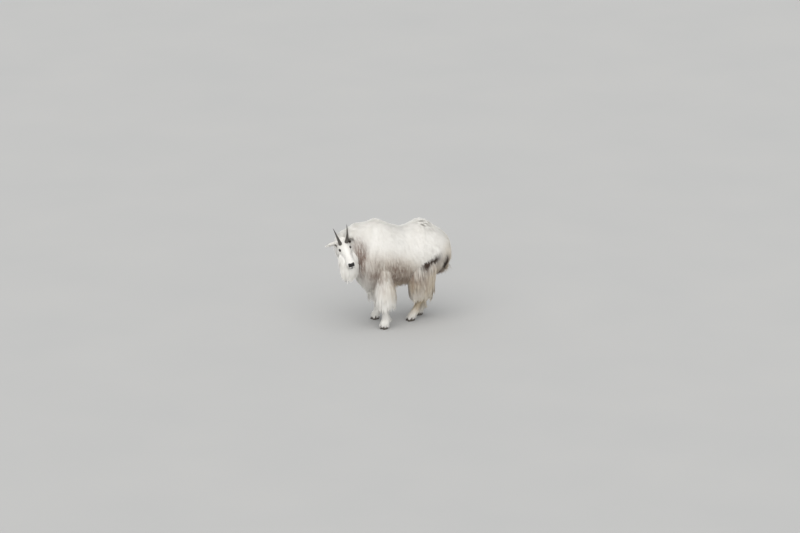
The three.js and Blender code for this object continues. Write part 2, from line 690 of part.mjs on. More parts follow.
// Thin cuts part the coat into the neck, the upper legs and the torso
const far = 2000;
const neckPlace = new THREE.Matrix4()
  .makeTranslation(cuts.neck.x, 0, cuts.neck.z)
  .multiply(new THREE.Matrix4().makeRotationY(rad(cuts.neck.lean)));
const neckBlock = (grow) => block([-far, -far, -far], [0, far, far], grow, neckPlace);
parts.add(meshOf("neck", coat.intersect(neckBlock(0)), colours.coat));
const rest = coat.subtract(neckBlock(gap));
let torso = rest;
for (const [name, leg] of Object.entries(legs)) {
  const { x, z } = leg.hind ? cuts.hind : cuts.front;
  const low = [x[0], leg.side < 0 ? -far : gap, -far];
  const high = [x[1], leg.side < 0 ? -gap : far, z];
  parts.add(meshOf(`upper_leg_${name}`, rest.intersect(block(low, high, 0)), colours.lowerCoat));
  torso = torso.subtract(block(low, high, gap));
}
parts.add(meshOf("torso", torso, colours.coat));

parts.position.copy(middle).negate();
export default parts;
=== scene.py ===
# A mountain goat that stands with its feet gathered and its head turned to look past its left side.
# Metres, +Z up. The body points along -X, so the goat's left side faces -Y.
import copy
import math

import bpy
import numpy as np
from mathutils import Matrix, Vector


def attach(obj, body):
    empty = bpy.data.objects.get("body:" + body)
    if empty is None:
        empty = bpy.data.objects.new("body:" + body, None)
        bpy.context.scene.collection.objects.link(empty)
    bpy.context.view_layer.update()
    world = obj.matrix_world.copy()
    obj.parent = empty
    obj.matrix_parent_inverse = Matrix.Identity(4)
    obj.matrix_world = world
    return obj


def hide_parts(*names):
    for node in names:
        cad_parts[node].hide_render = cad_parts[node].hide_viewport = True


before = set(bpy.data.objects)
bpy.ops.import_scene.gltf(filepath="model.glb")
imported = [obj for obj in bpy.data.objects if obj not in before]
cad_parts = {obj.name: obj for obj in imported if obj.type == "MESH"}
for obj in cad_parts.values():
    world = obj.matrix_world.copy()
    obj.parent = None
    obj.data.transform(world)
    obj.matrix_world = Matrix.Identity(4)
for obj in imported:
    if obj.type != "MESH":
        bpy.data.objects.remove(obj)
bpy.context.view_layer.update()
scene = bpy.context.scene
scene.view_settings.view_transform = "Standard"
random = np.random.default_rng(11)

# From the row's origin to the point of the floor between shoulders and hips, where the stations start
middle = np.array([-0.163, 0.002, 0.0])
skyward = np.array([0.0, 0.0, 1.0])
heading = np.array([-1.0, 0.0, 0.0])
sides = {"left": 1, "right": -1}


# Length of each vector of an array, and the vectors brought to length one
def lengthOf(vectors):
    return np.sqrt((vectors * vectors).sum(-1, keepdims=True))


def unit(vectors):
    return vectors / np.maximum(lengthOf(vectors), 1e-9)


# Dot product over the last axis, kept as a column
def dot(a, b):
    return (a * b).sum(-1, keepdims=True)


# Smooth step from 0 at low to 1 at high: 3t^2 - 2t^3 of the share t between them
def ramp(x, low, high):
    t = np.clip((x - low) / (high - low), 0, 1)
    return t * t * (3 - 2 * t)


def mix(a, b, share):
    return a + (b - a) * share


# Catmull-Rom curve through evenly spaced rows of values, read at shares s of its length
def curveThrough(values, s):
    values = np.asarray(values, float)
    last = len(values) - 1
    along = np.clip(s, 0, 1) * last
    i = np.minimum(along.astype(int), last - 1)
    t = along - i
    a, b, c, d = (values[np.clip(i + k, 0, last)] for k in (-1, 0, 1, 2))
    if values.ndim == 2:
        t = t[..., None]
    cubic = (3 * b - a - 3 * c + d) * t ** 3
    return 0.5 * (2 * b + (c - a) * t + (2 * a - 5 * b + 4 * c - d) * t * t + cubic)


# A rounded form. Its point at share s and angle a is centre(s) + up * reach(s) * cos a
# + left * side(s) * (1 - pear * cos a) * sin a, where reach is the upper or the lower one.
class Form:
    def __init__(self, stations, upward=skyward, facing=None, pear=0.0):
        rows = np.array(stations, float)
        self.centres = rows[:, :3]
        self.reaches = rows[:, 3:]
        self.upward = np.asarray(upward, float)
        self.facing = facing
        self.pear = pear

    def frameAt(self, s):
        step = 0.01
        centre = curveThrough(self.centres, s)
        if self.facing is None:
            ahead = curveThrough(self.centres, np.minimum(s + step, 1))
            along = unit(ahead - curveThrough(self.centres, np.maximum(s - step, 0)))
        else:
            along = np.broadcast_to(self.facing, centre.shape)
        up = unit(self.upward - along * dot(along, self.upward))
        return centre, along, up, np.cross(up, along)

    def point(self, s, angle, grow=0.0):
        s, angle = np.broadcast_arrays(s, angle)
        centre, _, up, left = self.frameAt(s)
        above, below, side = np.moveaxis(curveThrough(self.reaches, s) + grow, -1, 0)
        c = np.cos(angle)
        tall = np.where(c > 0, above, below) * c
        wide = side * (1 - self.pear * c) * np.sin(angle)
        return centre + up * tall[..., None] + left * wide[..., None]

    # The share along the form and the angle round it of each point, and how far out it lies as a
    # multiple of the reach there. The section is the one whose plane comes nearest.
    def locate(self, points):
        steps = np.linspace(0, 1, 49)
        centres, alongs, ups, lefts = self.frameAt(steps)
        ahead = points @ alongs.T - (centres * alongs).sum(-1)
        spread = (points ** 2).sum(-1)[:, None] - 2 * points @ centres.T + (centres ** 2).sum(-1)
        nearest = np.argmin(np.abs(ahead) + 0.1 * np.sqrt(np.maximum(spread, 0)), 1)
        beyond = np.take_along_axis(ahead, nearest[:, None], 1)[:, 0]
        pace = lengthOf(np.gradient(centres, steps, axis=0))[nearest, 0]
        s = np.clip(steps[nearest] + beyond / pace, 0, 1)
        offset = points - centres[nearest] - alongs[nearest] * beyond[:, None]
        high = (offset * ups[nearest]).sum(-1)
        wide = (offset * lefts[nearest]).sum(-1)
        above, below, side = np.moveaxis(curveThrough(self.reaches, s), -1, 0)
        reach = np.maximum(np.where(high > 0, above, below), 1e-4)
        angle = np.arctan2(wide / side, high / reach)
        for _ in range(2):
            flank = side * (1 - self.pear * np.cos(angle))
            angle = np.arctan2(wide / flank, high / reach)
        past = np.maximum(np.abs(beyond) - 0.02, 0)
        out = np.hypot(wide / flank, high / reach) + past / np.minimum(reach, flank)
        return s, angle, out


# Rows along each kind of tube and columns round it
fineness = {
    "form": (64, 72),
    "head": (200, 160),
    "lid": (15, 56),
    "ear": (48, 44),
    "shank": (72, 44),
    "horn": (150, 40),
    "eye": (40, 48),
    "claw": (28, 40),
    "dewclaw": (10, 16),
}
headCrowd = 1.45  # power by which the head's rows draw together towards the nose


# Grid of a tube's surface: the share along it of each row, 1 - (1 - t)^crowd, and the angle round it of
# each column
def tubeGrid(kind, crowd=1.0):
    rows, columns = fineness[kind]
    s = 1 - (1 - np.linspace(0, 1, rows)) ** crowd
    return s[:, None], np.linspace(0, 2 * np.pi, columns, endpoint=False)[None, :]


# Quads between neighbours of a grid of corners, whose columns close to a ring
def quadsOf(corner):
    beside = np.roll(corner, -1, 1)
    return np.stack([corner[:-1], corner[1:], beside[1:], beside[:-1]], -1).reshape(-1, 4)


# Points, quads and triangles of a closed tube from its grid of points, with a fan of triangles to the
# middle of the first and the last ring
def closedTube(grid):
    rows, columns = grid.shape[:2]
    points = np.concatenate([grid.reshape(-1, 3), grid[[0, -1]].mean(1)])
    corner = np.arange(rows * columns).reshape(rows, columns)
    beside = np.roll(corner, -1, 1)
    first = np.full(columns, rows * columns)
    fans = [np.stack([first, corner[0], beside[0]], -1), np.stack([first + 1, beside[-1], corner[-1]], -1)]
    return points, quadsOf(corner), np.concatenate(fans)


# A ring whose section is closed: rows wrap as well as columns
noFans = np.zeros((0, 3), int)


def closedRing(grid):
    rows, columns = grid.shape[:2]
    corner = np.arange(rows * columns).reshape(rows, columns)
    return grid.reshape(-1, 3), quadsOf(np.concatenate([corner, corner[:1]])), noFans


# Several point and face sets as one
def joined(shapes):
    starts = np.cumsum([0] + [len(points) for points, _, _ in shapes])
    points = np.concatenate([shape[0] for shape in shapes])
    quads = np.concatenate([shape[1] + start for shape, start in zip(shapes, starts)])
    fans = np.concatenate([shape[2] + start for shape, start in zip(shapes, starts)])
    return points, quads, fans


# The same shape with its faces turned outwards: its volume, a sixth of the sum of the faces' triple
# products, is made positive
def outwards(shape):
    points, quads, fans = shape
    triangles = np.concatenate([quads[:, [0, 1, 2]], quads[:, [0, 2, 3]], fans])
    a, b, c = (points[triangles[:, k]] for k in range(3))
    if (np.cross(a, b) * c).sum() < 0:
        quads = quads[:, ::-1]
        fans = fans[:, ::-1]
    return points, quads, fans


# A mesh object from whole arrays, smooth shaded
def pieceFrom(name, shape, material=None):
    points, quads, fans = shape
    mesh = bpy.data.meshes.new(name)
    corners = np.concatenate([quads.ravel(), fans.ravel()]).astype(np.int32)
    sizes = np.concatenate([np.full(len(quads), 4), np.full(len(fans), 3)]).astype(np.int32)
    starts = (np.cumsum(sizes) - sizes).astype(np.int32)
    mesh.vertices.add(len(points))
    mesh.vertices.foreach_set("co", np.ascontiguousarray(points, np.float32).ravel())
    mesh.loops.add(len(corners))
    mesh.loops.foreach_set("vertex_index", corners)
    mesh.polygons.add(len(sizes))
    mesh.polygons.foreach_set("loop_start", starts)
    mesh.polygons.foreach_set("loop_total", sizes)
    mesh.polygons.foreach_set("use_smooth", np.ones(len(sizes), bool))
    mesh.update(calc_edges=True)
    piece = bpy.data.objects.new(name, mesh)
    scene.collection.objects.link(piece)
    if material:
        mesh.materials.append(material)
    return piece


# Places of a mesh's points, and the points at its faces' corners
def pointsOf(mesh):
    points = np.empty(len(mesh.vertices) * 3, np.float32)
    mesh.vertices.foreach_get("co", points)
    return points.reshape(-1, 3).astype(float)


def cornersOf(mesh):
    corners = np.empty(len(mesh.loops), np.int32)
    mesh.loops.foreach_get("vertex_index", corners)
    return corners


# Three numbers on each point, for the materials to read
def setMarks(piece, name, values):
    layer = piece.data.attributes.new(name, "FLOAT_VECTOR", "POINT")
    layer.data.foreach_set("vector", np.ascontiguousarray(values, np.float32).ravel())


# Marks of a shape's points with one of the three numbers in use, and 0 beyond the given values
def marksOf(shape, values=(), number=0):
    marks = np.zeros((len(shape[0]), 3))
    marks[:len(values), number] = values
    return marks


# The camera: far off with a long lens, as the animal is small in the picture
view = {"azimuth": -25, "elevation": 18, "lens": 200, "distance": 44.4, "aim": (-0.03, 0.535), "reach": 500}


def makeCamera():
    turn = math.radians(view["azimuth"])
    lift = math.radians(view["elevation"])
    back = np.array([math.sin(turn) * math.cos(lift), -math.cos(turn) * math.cos(lift), math.sin(lift)])
    right = np.array([math.cos(turn), math.sin(turn), 0.0])
    aside, above = view["aim"]
    target = right * aside + np.cross(back, right) * above - middle
    camera = bpy.data.objects.new("camera", bpy.data.cameras.new("camera"))
    camera.data.lens = view["lens"]
    camera.data.sensor_width = 36
    camera.data.clip_end = view["reach"]
    camera.location = target + back * view["distance"]
    camera.rotation_euler = Vector(-back).to_track_quat("-Z", "Y").to_euler()
    scene.collection.objects.link(camera)
    scene.camera = camera


# One number or colour inside a material. Python's own operators add its Math nodes.
class Value:
    def __init__(self, paint, socket):
        self.paint = paint
        self.socket = socket

    def maths(self, operation, a, b=0.0, clamp=False):
        return self.paint.node("ShaderNodeMath", {"operation": operation, "use_clamp": clamp}, {0: a, 1: b})

    def __add__(self, other):
        return self.maths("ADD", self, other)

    def __sub__(self, other):
        return self.maths("SUBTRACT", self, other)

    def __rsub__(self, other):
        return self.maths("SUBTRACT", other, self)

    def __mul__(self, other):
        return self.maths("MULTIPLY", self, other)

    def __truediv__(self, other):
        return self.maths("DIVIDE", self, other)

    def __pow__(self, other):
        return self.maths("POWER", self, other)

    __radd__ = __add__
    __rmul__ = __mul__

    def held(self):
        return self.maths("ADD", self, 0.0, clamp=True)

    def between(self, low, high):
        limits = {1: low, 2: high, 3: 0.0, 4: 1.0}
        settings = {"interpolation_type": "SMOOTHSTEP"}
        return self.paint.node("ShaderNodeMapRange", settings, {0: self, **limits})


# One material: its own nodes, and a Principled shader with fixed values
class Paint:
    def __init__(self, name, **fixed):
        self.material = bpy.data.materials.new(name)
        self.material.use_nodes = True
        self.tree = self.material.node_tree
        self.shader = self.tree.nodes["Principled BSDF"]
        for socket, value in fixed.items():
            self.shader.inputs[socket.replace("_", " ")].default_value = value

    def put(self, socket, value):
        if isinstance(value, Value):
            self.tree.links.new(value.socket, socket)
        else:
            socket.default_value = value

    def node(self, kind, settings=None, inputs=None, out=0):
        made = self.tree.nodes.new(kind)
        for key, value in (settings or {}).items():
            setattr(made, key, value)
        for key, value in (inputs or {}).items():
            self.put(made.inputs[key], value)
        return Value(self, made.outputs[out])

    def place(self):
        return self.node("ShaderNodeTexCoord", out="Object")

    # The three numbers kept on each point under this name
    def marks(self, name):
        kept = self.node("ShaderNodeAttribute", {"attribute_name": name}, out="Vector")
        return [self.node("ShaderNodeSeparateXYZ", None, {0: kept}, out=k) for k in range(3)]

    def noise(self, scale, detail=3.0, stretch=(1, 1, 1), place=None):
        where = place or self.place()
        if stretch != (1, 1, 1):
            where = self.node("ShaderNodeMapping", None, {"Vector": where, "Scale": stretch})
        return self.node("ShaderNodeTexNoise", None, {"Vector": where, "Scale": scale, "Detail": detail})

    def blend(self, share, first, second, way="MIX"):
        settings = {"data_type": "RGBA", "blend_type": way}
        return self.node("ShaderNodeMix", settings, {0: share, 6: first, 7: second}, out=2)

    def bump(self, height, strength, distance):
        inputs = {"Height": height, "Strength": strength, "Distance": distance}
        return self.node("ShaderNodeBump", None, inputs)

    def feed(self, **links):
        for socket, value in links.items():
            self.put(self.shader.inputs[socket.replace("_", " ")], value)
        return self.material


# A colour as the eye reads it, 0 to 255 a channel, turned to the renderer's linear light
def colour(red, green, blue):
    shares = np.array([red, green, blue]) / 255
    linear = np.where(shares <= 0.04045, shares / 12.92, ((shares + 0.055) / 1.055) ** 2.4)
    return (*linear.tolist(), 1.0)


# Where the coat is stained, and where painted shade darkens it, as shares of tan, brown and deep brown for
# each place: broad soft patches over the animal, written as falls from a middle with a reach along x, y and
# z
stainsAndShade = {
    "tan": [
        # lower flank and belly, trousers, hocks and hind cannons, under the rump
        {"at": (-0.14, 0.0, 0.60), "reach": (0.36, 0.50, 0.17), "much": 0.62, "slope": -0.30},
        {"at": (-0.02, 0.0, 0.46), "reach": (0.27, 0.40, 0.11), "much": 1.00},
        {"at": (0.27, 0.0, 0.45), "reach": (0.23, 0.50, 0.21), "much": 0.80},
        {"at": (0.20, 0.0, 0.21), "reach": (0.22, 0.30, 0.13), "much": 1.10},
        {"at": (0.42, 0.0, 0.60), "reach": (0.12, 0.30, 0.20), "much": 0.75},
    ],
    "brownStainAndShade": [
        # side of the neck behind the face (partly painted shade), streaks of the flank and belly, back of
        # the trousers
        # painted shade as well as stain: the neck's side behind the face, darkened for the head's shade and
        # the hollow before the shoulder
        {"at": (-0.535, -0.17, 0.75), "reach": (0.082, 0.13, 0.25), "much": 1.25},
        {"at": (-0.50, 0.19, 0.74), "reach": (0.07, 0.08, 0.20), "much": 0.60},
        {"at": (-0.37, -0.20, 0.62), "reach": (0.14, 0.20, 0.17), "much": 0.66, "slope": -0.3},
        {"at": (-0.16, -0.20, 0.60), "reach": (0.20, 0.20, 0.15), "much": 0.76, "slope": -0.35},
        {"at": (0.03, -0.20, 0.51), "reach": (0.16, 0.30, 0.13), "much": 0.72, "slope": -0.1},
        {"at": (-0.14, 0.20, 0.58), "reach": (0.32, 0.20, 0.15), "much": 0.80, "slope": -0.3},
        {"at": (0.38, -0.10, 0.44), "reach": (0.08, 0.24, 0.17), "much": 0.75},
        {"at": (0.21, -0.20, 0.62), "reach": (0.20, 0.14, 0.05), "much": 0.50, "slope": 0.40},
    ],
    "deep": [
        # crease of the thigh, and beside and under the tail: partly stain, partly painted shade
        {"at": (0.205, -0.21, 0.672), "reach": (0.098, 0.12, 0.030), "much": 1.40, "slope": 0.54},
        {"at": (0.205, 0.21, 0.672), "reach": (0.098, 0.12, 0.030), "much": 1.00, "slope": 0.54},
        {"at": (0.395, -0.14, 0.640), "reach": (0.034, 0.10, 0.068), "much": 1.10},
        {"at": (0.395, 0.14, 0.640), "reach": (0.034, 0.10, 0.068), "much": 0.90},
        {"at": (0.360, -0.12, 0.500), "reach": (0.034, 0.12, 0.042), "much": 0.95},
    ],
}


# Each patch of stain and painted shade falls off as exp(-r^3) of the distance r in its own reaches, tilted
# by its slope
def stainAndShadeShares(points):
    places = points + middle
    shares = []
    for patches in stainsAndShade.values():
        total = np.zeros(len(points))
        for patch in patches:
            offset = places - np.array(patch["at"])
            offset[:, 2] -= patch.get("slope", 0.0) * offset[:, 0]
            far = ((offset / np.array(patch["reach"])) ** 2).sum(-1)
            total = np.maximum(total, patch["much"] * np.exp(-far ** 1.5))
        shares.append(total)
    return np.stack(shares, -1)


# The trunk, rear to front: x, top, bottom and half width, out to the tips of the coat
trunkOutline = [
    (0.482, 0.800, 0.600, 0.060),
    (0.448, 0.875, 0.530, 0.135),
    (0.370, 0.942, 0.495, 0.185),
    (0.260, 1.006, 0.480, 0.212),
    (0.150, 1.038, 0.455, 0.215),
    (0.050, 1.014, 0.430, 0.212),
    (-0.040, 1.008, 0.425, 0.215),
    (-0.140, 1.042, 0.435, 0.220),
    (-0.240, 1.088, 0.445, 0.218),
    (-0.330, 1.110, 0.445, 0.205),
    (-0.420, 1.065, 0.440, 0.180),
    (-0.490, 0.960, 0.480, 0.140),
    (-0.530, 0.860, 0.560, 0.070),
]
# The neck, trunk to head: centre, then reach of the crest, the throat and the sides
neckOutline = [
    (-0.330, 0.000, 0.800, 0.290, 0.230, 0.170),
    (-0.450, 0.020, 0.825, 0.265, 0.250, 0.160),
    (-0.560, 0.060, 0.860, 0.212, 0.220, 0.138),
    (-0.622, 0.085, 0.880, 0.135, 0.170, 0.098),
    (-0.646, 0.075, 0.888, 0.058, 0.100, 0.056),
]
# The tail, root to tip, in the same way
tailOutline = [
    (0.430, 0.0, 0.800, 0.030, 0.030, 0.038),
    (0.468, 0.0, 0.762, 0.034, 0.030, 0.044),
    (0.486, 0.0, 0.690, 0.034, 0.030, 0.044),
    (0.484, 0.0, 0.610, 0.026, 0.026, 0.034),
    (0.474, 0.0, 0.540, 0.010, 0.010, 0.014),
]
# How deep the coat is: over the back, over the neck, at the sides and below
depth = {"top": 0.021, "crest": 0.010, "side": 0.020, "below": 0.046}

# Each leg: the joints of its middle line, the middle of its foot, and the foot's turn to the left
legs = {
    "front_left": {
        "hind": False, "side": -1, "turn": 30,
        "top": (-0.268, -0.122, 0.540), "joint": (-0.255, -0.140, 0.310),
        "fetlock": (-0.256, -0.144, 0.092), "foot": (-0.283, -0.160, 0.0),
    },
    "front_right": {
        "hind": False, "side": 1, "turn": 12,
        "top": (-0.240, 0.122, 0.540), "joint": (-0.212, 0.146, 0.310),
        "fetlock": (-0.206, 0.158, 0.092), "foot": (-0.238, 0.160, 0.0),
    },
    "hind_left": {
        "hind": True, "side": -1, "turn": 6,
        "top": (0.150, -0.118, 0.600), "joint": (0.190, -0.074, 0.272),
        "fetlock": (0.104, -0.044, 0.092), "foot": (0.060, -0.040, 0.0),
    },
    "hind_right": {
        "hind": True, "side": 1, "turn": -8,
        "top": (0.205, 0.112, 0.600), "joint": (0.300, 0.096, 0.276),
        "fetlock": (0.252, 0.096, 0.092), "foot": (0.212, 0.098, 0.0),
    },
}
# Hair round the upper leg: share of the way from its top to its hem, reach ahead, behind and aside
chaps = [
    (0.0, 0.095, 0.105, 0.088),
    (0.5, 0.110, 0.116, 0.102),
    (1.0, 0.100, 0.106, 0.094),
    (1.06, 0.060, 0.060, 0.060),
]
trousers = [
    (0.0, 0.182, 0.190, 0.106),
    (0.5, 0.178, 0.145, 0.110),
    (1.0, 0.145, 0.098, 0.088),
    (1.06, 0.080, 0.055, 0.055),
]
hem = {"front": 0.045, "hind": -0.010}  # how far its core hangs below the knee or hock
tips = {"front": 0.080, "hind": 0.022}  # and its tips
# Shoulder and thigh, which carry that hair up into the trunk: place beside the top of the leg's middle
# line and reach ahead, behind and aside, from above down
shoulder = [
    (-0.020, 0.050, 0.270, 0.060, 0.070, 0.060),
    (-0.012, 0.030, 0.190, 0.085, 0.100, 0.085),
    (-0.006, 0.012, 0.090, 0.110, 0.120, 0.100),
]
thigh = [
    (0.060, 0.045, 0.240, 0.120, 0.120, 0.070),
    (0.045, 0.026, 0.160, 0.165, 0.160, 0.095),
    (0.020, 0.010, 0.075, 0.185, 0.190, 0.110),
]
# The lower leg, joint to fetlock: share of the way, reach ahead, behind and aside
cannon = [
    (0.0, 0.034, 0.037, 0.034),
    (0.35, 0.030, 0.033, 0.028),
    (0.75, 0.031, 0.034, 0.029),
    (1.0, 0.036, 0.041, 0.037),
]
# Below it, reach of the pastern, height of the hoof's upper edge, and the peg inside the hoof
pastern = {"reach": (0.041, 0.040, 0.039), "coronet": 0.048, "along": 0.62}
peg = {"height": 0.034, "back": 0.004, "reach": (0.020, 0.020, 0.022)}
tailBare = 0.7  # share of the tail's reach without its hair


# The forms of the skin lie inside those outlines, by the depth of the coat
def trunkForm():
    stations = []
    for x, top, bottom, half in trunkOutline:
        low = bottom + depth["below"]
        high = top - depth["top"]
        reach = (high - low) / 2
        stations.append((x, 0.0, (high + low) / 2, reach, reach, half - depth["side"]))
    return Form(shifted(stations), facing=heading, pear=0.16)


# Stations moved from the animal's own middle into the row's frame
def shifted(stations):
    rows = np.array(stations, float)
    rows[:, :3] -= middle
    return rows


def neckForm():
    rows = shifted(neckOutline)
    rows[:, 3:] -= [depth["crest"], depth["below"], depth["side"]]
    return Form(rows)


def tailForm():
    rows = shifted(tailOutline)
    rows[:, 3:] *= tailBare
    return Form(rows, upward=(1, 0, 0))


# The core of the hair round an upper leg, from its top down to the hem
def skirtForm(leg):
    top = np.array(leg["top"])
    end = np.array(leg["joint"]) - skyward * hem["hind" if leg["hind"] else "front"]
    rows = []
    for back, inwards, above, ahead, behind, side in thigh if leg["hind"] else shoulder:
        at = top + np.array([back, -leg["side"] * inwards, above])
        rows.append((*at, *(np.array([ahead, behind, side]) - depth["side"])))
    for t, ahead, behind, side in trousers if leg["hind"] else chaps:
        reach = np.array([ahead, behind, side]) - depth["side"]
        rows.append((*mix(top, end, t), *reach))
    return Form(shifted(rows), upward=heading, facing=-skyward)


# The way a foot points, and the way across it to its right
def footAxes(leg):
    turn = math.radians(leg["turn"])
    step = np.array([-math.cos(turn), -math.sin(turn), 0.0])
    return step, np.array([step[1], -step[0], 0.0])


# The bare shape of a lower leg, from above the joint to inside the hoof
def shankForm(leg):
    joint, fetlock, foot = (np.array(leg[key]) for key in ("joint", "fetlock", "foot"))
    coronet = mix(fetlock, foot, pastern["along"])
    coronet[2] = pastern["coronet"]
    end = foot - footAxes(leg)[0] * peg["back"] + skyward * peg["height"]
    rows = [(*mix(joint, fetlock, t), *reach) for t, *reach in cannon]
    rows.append((*mix(fetlock, coronet, 0.5), *pastern["reach"]))
    rows.append((*coronet, *pastern["reach"]))
    rows.append((*end, *peg["reach"]))
    return Form(shifted(rows), upward=heading, facing=-skyward)


# The head's frame: forward along the skull, to its left, and up from the line of the face
head = {"at": (-0.655, 0.051, 0.910), "turn": 88, "bow": 32, "tilt": 16, "size": 1.04}
# Back of the skull to the muzzle: place forward, top, bottom and half width
headStations = [
    (0.000, 0.036, -0.050, 0.042),
    (0.024, 0.060, -0.074, 0.058),
    (0.050, 0.069, -0.086, 0.064),
    (0.075, 0.071, -0.089, 0.066),
    (0.100, 0.069, -0.086, 0.067),
    (0.125, 0.064, -0.080, 0.063),
    (0.150, 0.057, -0.071, 0.055),
    (0.175, 0.051, -0.064, 0.048),
    (0.200, 0.046, -0.059, 0.043),
    (0.225, 0.041, -0.057, 0.040),
    (0.250, 0.036, -0.060, 0.039),
    (0.275, 0.031, -0.063, 0.040),
    (0.298, 0.024, -0.062, 0.038),
    (0.314, 0.014, -0.057, 0.031),
    (0.322, 0.003, -0.048, 0.021),
    (0.325, -0.010, -0.034, 0.009),
]
# Bulges and hollows on both sides of the head: place, reach and height
headBulges = [
    {"at": (0.108, 0.058, 0.046), "reach": 0.022, "height": 0.005},  # brow
    {"at": (0.134, 0.062, 0.026), "reach": 0.026, "height": -0.003},  # eye socket
    {"at": (0.128, 0.056, -0.002), "reach": 0.024, "height": 0.005},  # cheek bone
    {"at": (0.085, 0.062, -0.030), "reach": 0.040, "height": 0.006},  # jaw muscle
    {"at": (0.200, 0.042, -0.005), "reach": 0.034, "height": -0.004},  # hollow of the cheek
    {"at": (0.298, 0.032, 0.002), "reach": 0.014, "height": 0.004},  # wing of the nostril
    {"at": (0.285, 0.030, -0.026), "reach": 0.017, "height": 0.003},  # upper lip
    {"at": (0.290, 0.000, -0.058), "reach": 0.020, "height": 0.010},  # chin
    {"at": (0.270, 0.000, 0.036), "reach": 0.030, "height": 0.002},  # bridge of the nose
]
mouth = {"from": 0.238, "back": -0.042, "front": -0.036, "width": 0.0026, "depth": 0.006}
nostril = {"at": (0.309, 0.018, 0.002), "reach": (0.010, 0.0085, 0.0042), "depth": 0.013, "slant": 34}
philtrum = {"width": 0.0022, "depth": 0.003}
lipRidges = {"upper": (0.006, 0.0018), "lower": (-0.006, 0.0014)}  # height over the mouth, and swelling
# Between which places the dark skin of the muzzle sets in: the edge of the nose pad, its lower side, its
# top and its wings, then the lips, the lower lip, its lower side and the cleft of the nose
muzzle = {
    "edge": (0.2970, 0.3000),
    "under": (0.019, 0.022),
    "top": (0.019, 0.016),
    "wings": (0.032, 0.028),
    "lips": (0.262, 0.300),
    "lower": (0.296, 0.308),
    "chin": (0.015, 0.011),
    "cleft": (0.300, 0.312),
}
eye = {"at": (0.131, 0.0490, 0.028), "radius": 0.0132, "ahead": 0.50, "above": 0.20}
rim = {"dark": (0.0150, 0.0134), "corner": (0.018, -0.007), "cornerReach": (0.007, 0.0045)}
lid = {"thick": 0.0014, "half": 0.0112, "open": 0.0082, "outer": 0.0140, "slant": 14, "sunk": 0.010,
       "dark": (0.0160, 0.0150)}


# Forward, left and up of the head in the body, turned, bowed and tilted in that order
def headAxes():
    turn, bow, tilt = (math.radians(head[key]) for key in ("turn", "bow", "tilt"))
    level = np.array([-math.cos(turn), -math.sin(turn), 0.0])
    left = np.array([math.sin(turn), -math.cos(turn), 0.0])
    forward = level * math.cos(bow) - skyward * math.sin(bow)
    crown = level * math.sin(bow) + skyward * math.cos(bow)
    side = left * math.cos(tilt) + crown * math.sin(tilt)
    return np.array([forward, side, crown * math.cos(tilt) - left * math.sin(tilt)])


axesOfHead = headAxes()
forward, leftward, crownward = axesOfHead


# A place in the head's frame brought into the row's, and back
def onHead(places):
    return np.array(head["at"]) - middle + np.asarray(places) @ axesOfHead * head["size"]


def fromHead(points):
    return (points - np.array(head["at"]) + middle) @ axesOfHead.T / head["size"]


# A place of the head on its left side, 1, or its right side, -1
def onSide(at, side):
    return onHead(np.array(at) * [1, side, 1])


# Places of the head with those of its right side brought to the left
def mirrored(places):
    return np.stack([places[..., 0], np.abs(places[..., 1]), places[..., 2]], -1)


# Depth of the mouth's line at places of the head, 0 off it and 1 in it, and the height over it
def mouthLine(places):
    slope = (mouth["front"] - mouth["back"]) / (0.315 - mouth["from"])
    above = places[..., 2] - mouth["back"] - slope * (places[..., 0] - mouth["from"])
    return np.exp(-(above / mouth["width"]) ** 2) * ramp(places[..., 0], 0.240, 0.256), above


# How far inside a nostril a place is, 1 in its middle
def nostrilShare(places):
    slant = math.radians(nostril["slant"])
    offset = mirrored(places) - nostril["at"]
    wide = offset[..., 1] * math.cos(slant) + offset[..., 2] * math.sin(slant)
    tall = offset[..., 2] * math.cos(slant) - offset[..., 1] * math.sin(slant)
    reach = nostril["reach"]
    far = (offset[..., 0] / reach[0]) ** 2 + (wide / reach[1]) ** 2 + (tall / reach[2]) ** 2
    return np.exp(-far)


# Outer surface of the head in its own frame: the stations' oval, pushed along its outward direction
# by each bulge's exp(-r^2), by the lips' two ridges and by the pits of mouth, nostrils and philtrum
def headSurface(s, angle):
    f, top, bottom, half = np.moveaxis(curveThrough(headStations, s), -1, 0)
    c = np.cos(angle)
    n = np.sin(angle)
    out = np.stack(np.broadcast_arrays(0 * c, n, c), -1)
    places = np.stack(np.broadcast_arrays(f, half * n, (top + bottom) / 2 + (top - bottom) / 2 * c), -1)
    push = np.zeros(places.shape[:-1])
    for bulge in headBulges:
        far = lengthOf(mirrored(places) - bulge["at"])[..., 0] / bulge["reach"]
        push += bulge["height"] * np.exp(-far ** 2)
    inMouth, above = mouthLine(places)
    for height, swelling in lipRidges.values():
        push += ramp(places[..., 0], 0.250, 0.285) * swelling * np.exp(-((above - height) / 0.004) ** 2)
    push -= mouth["depth"] * inMouth
    push -= nostril["depth"] * nostrilShare(places)
    cleft = np.exp(-(places[..., 1] / philtrum["width"]) ** 2) * ramp(places[..., 0], *muzzle["cleft"])
    push -= philtrum["depth"] * cleft * ramp(above, 0.0, 0.004)
    return places + out * push[..., None]


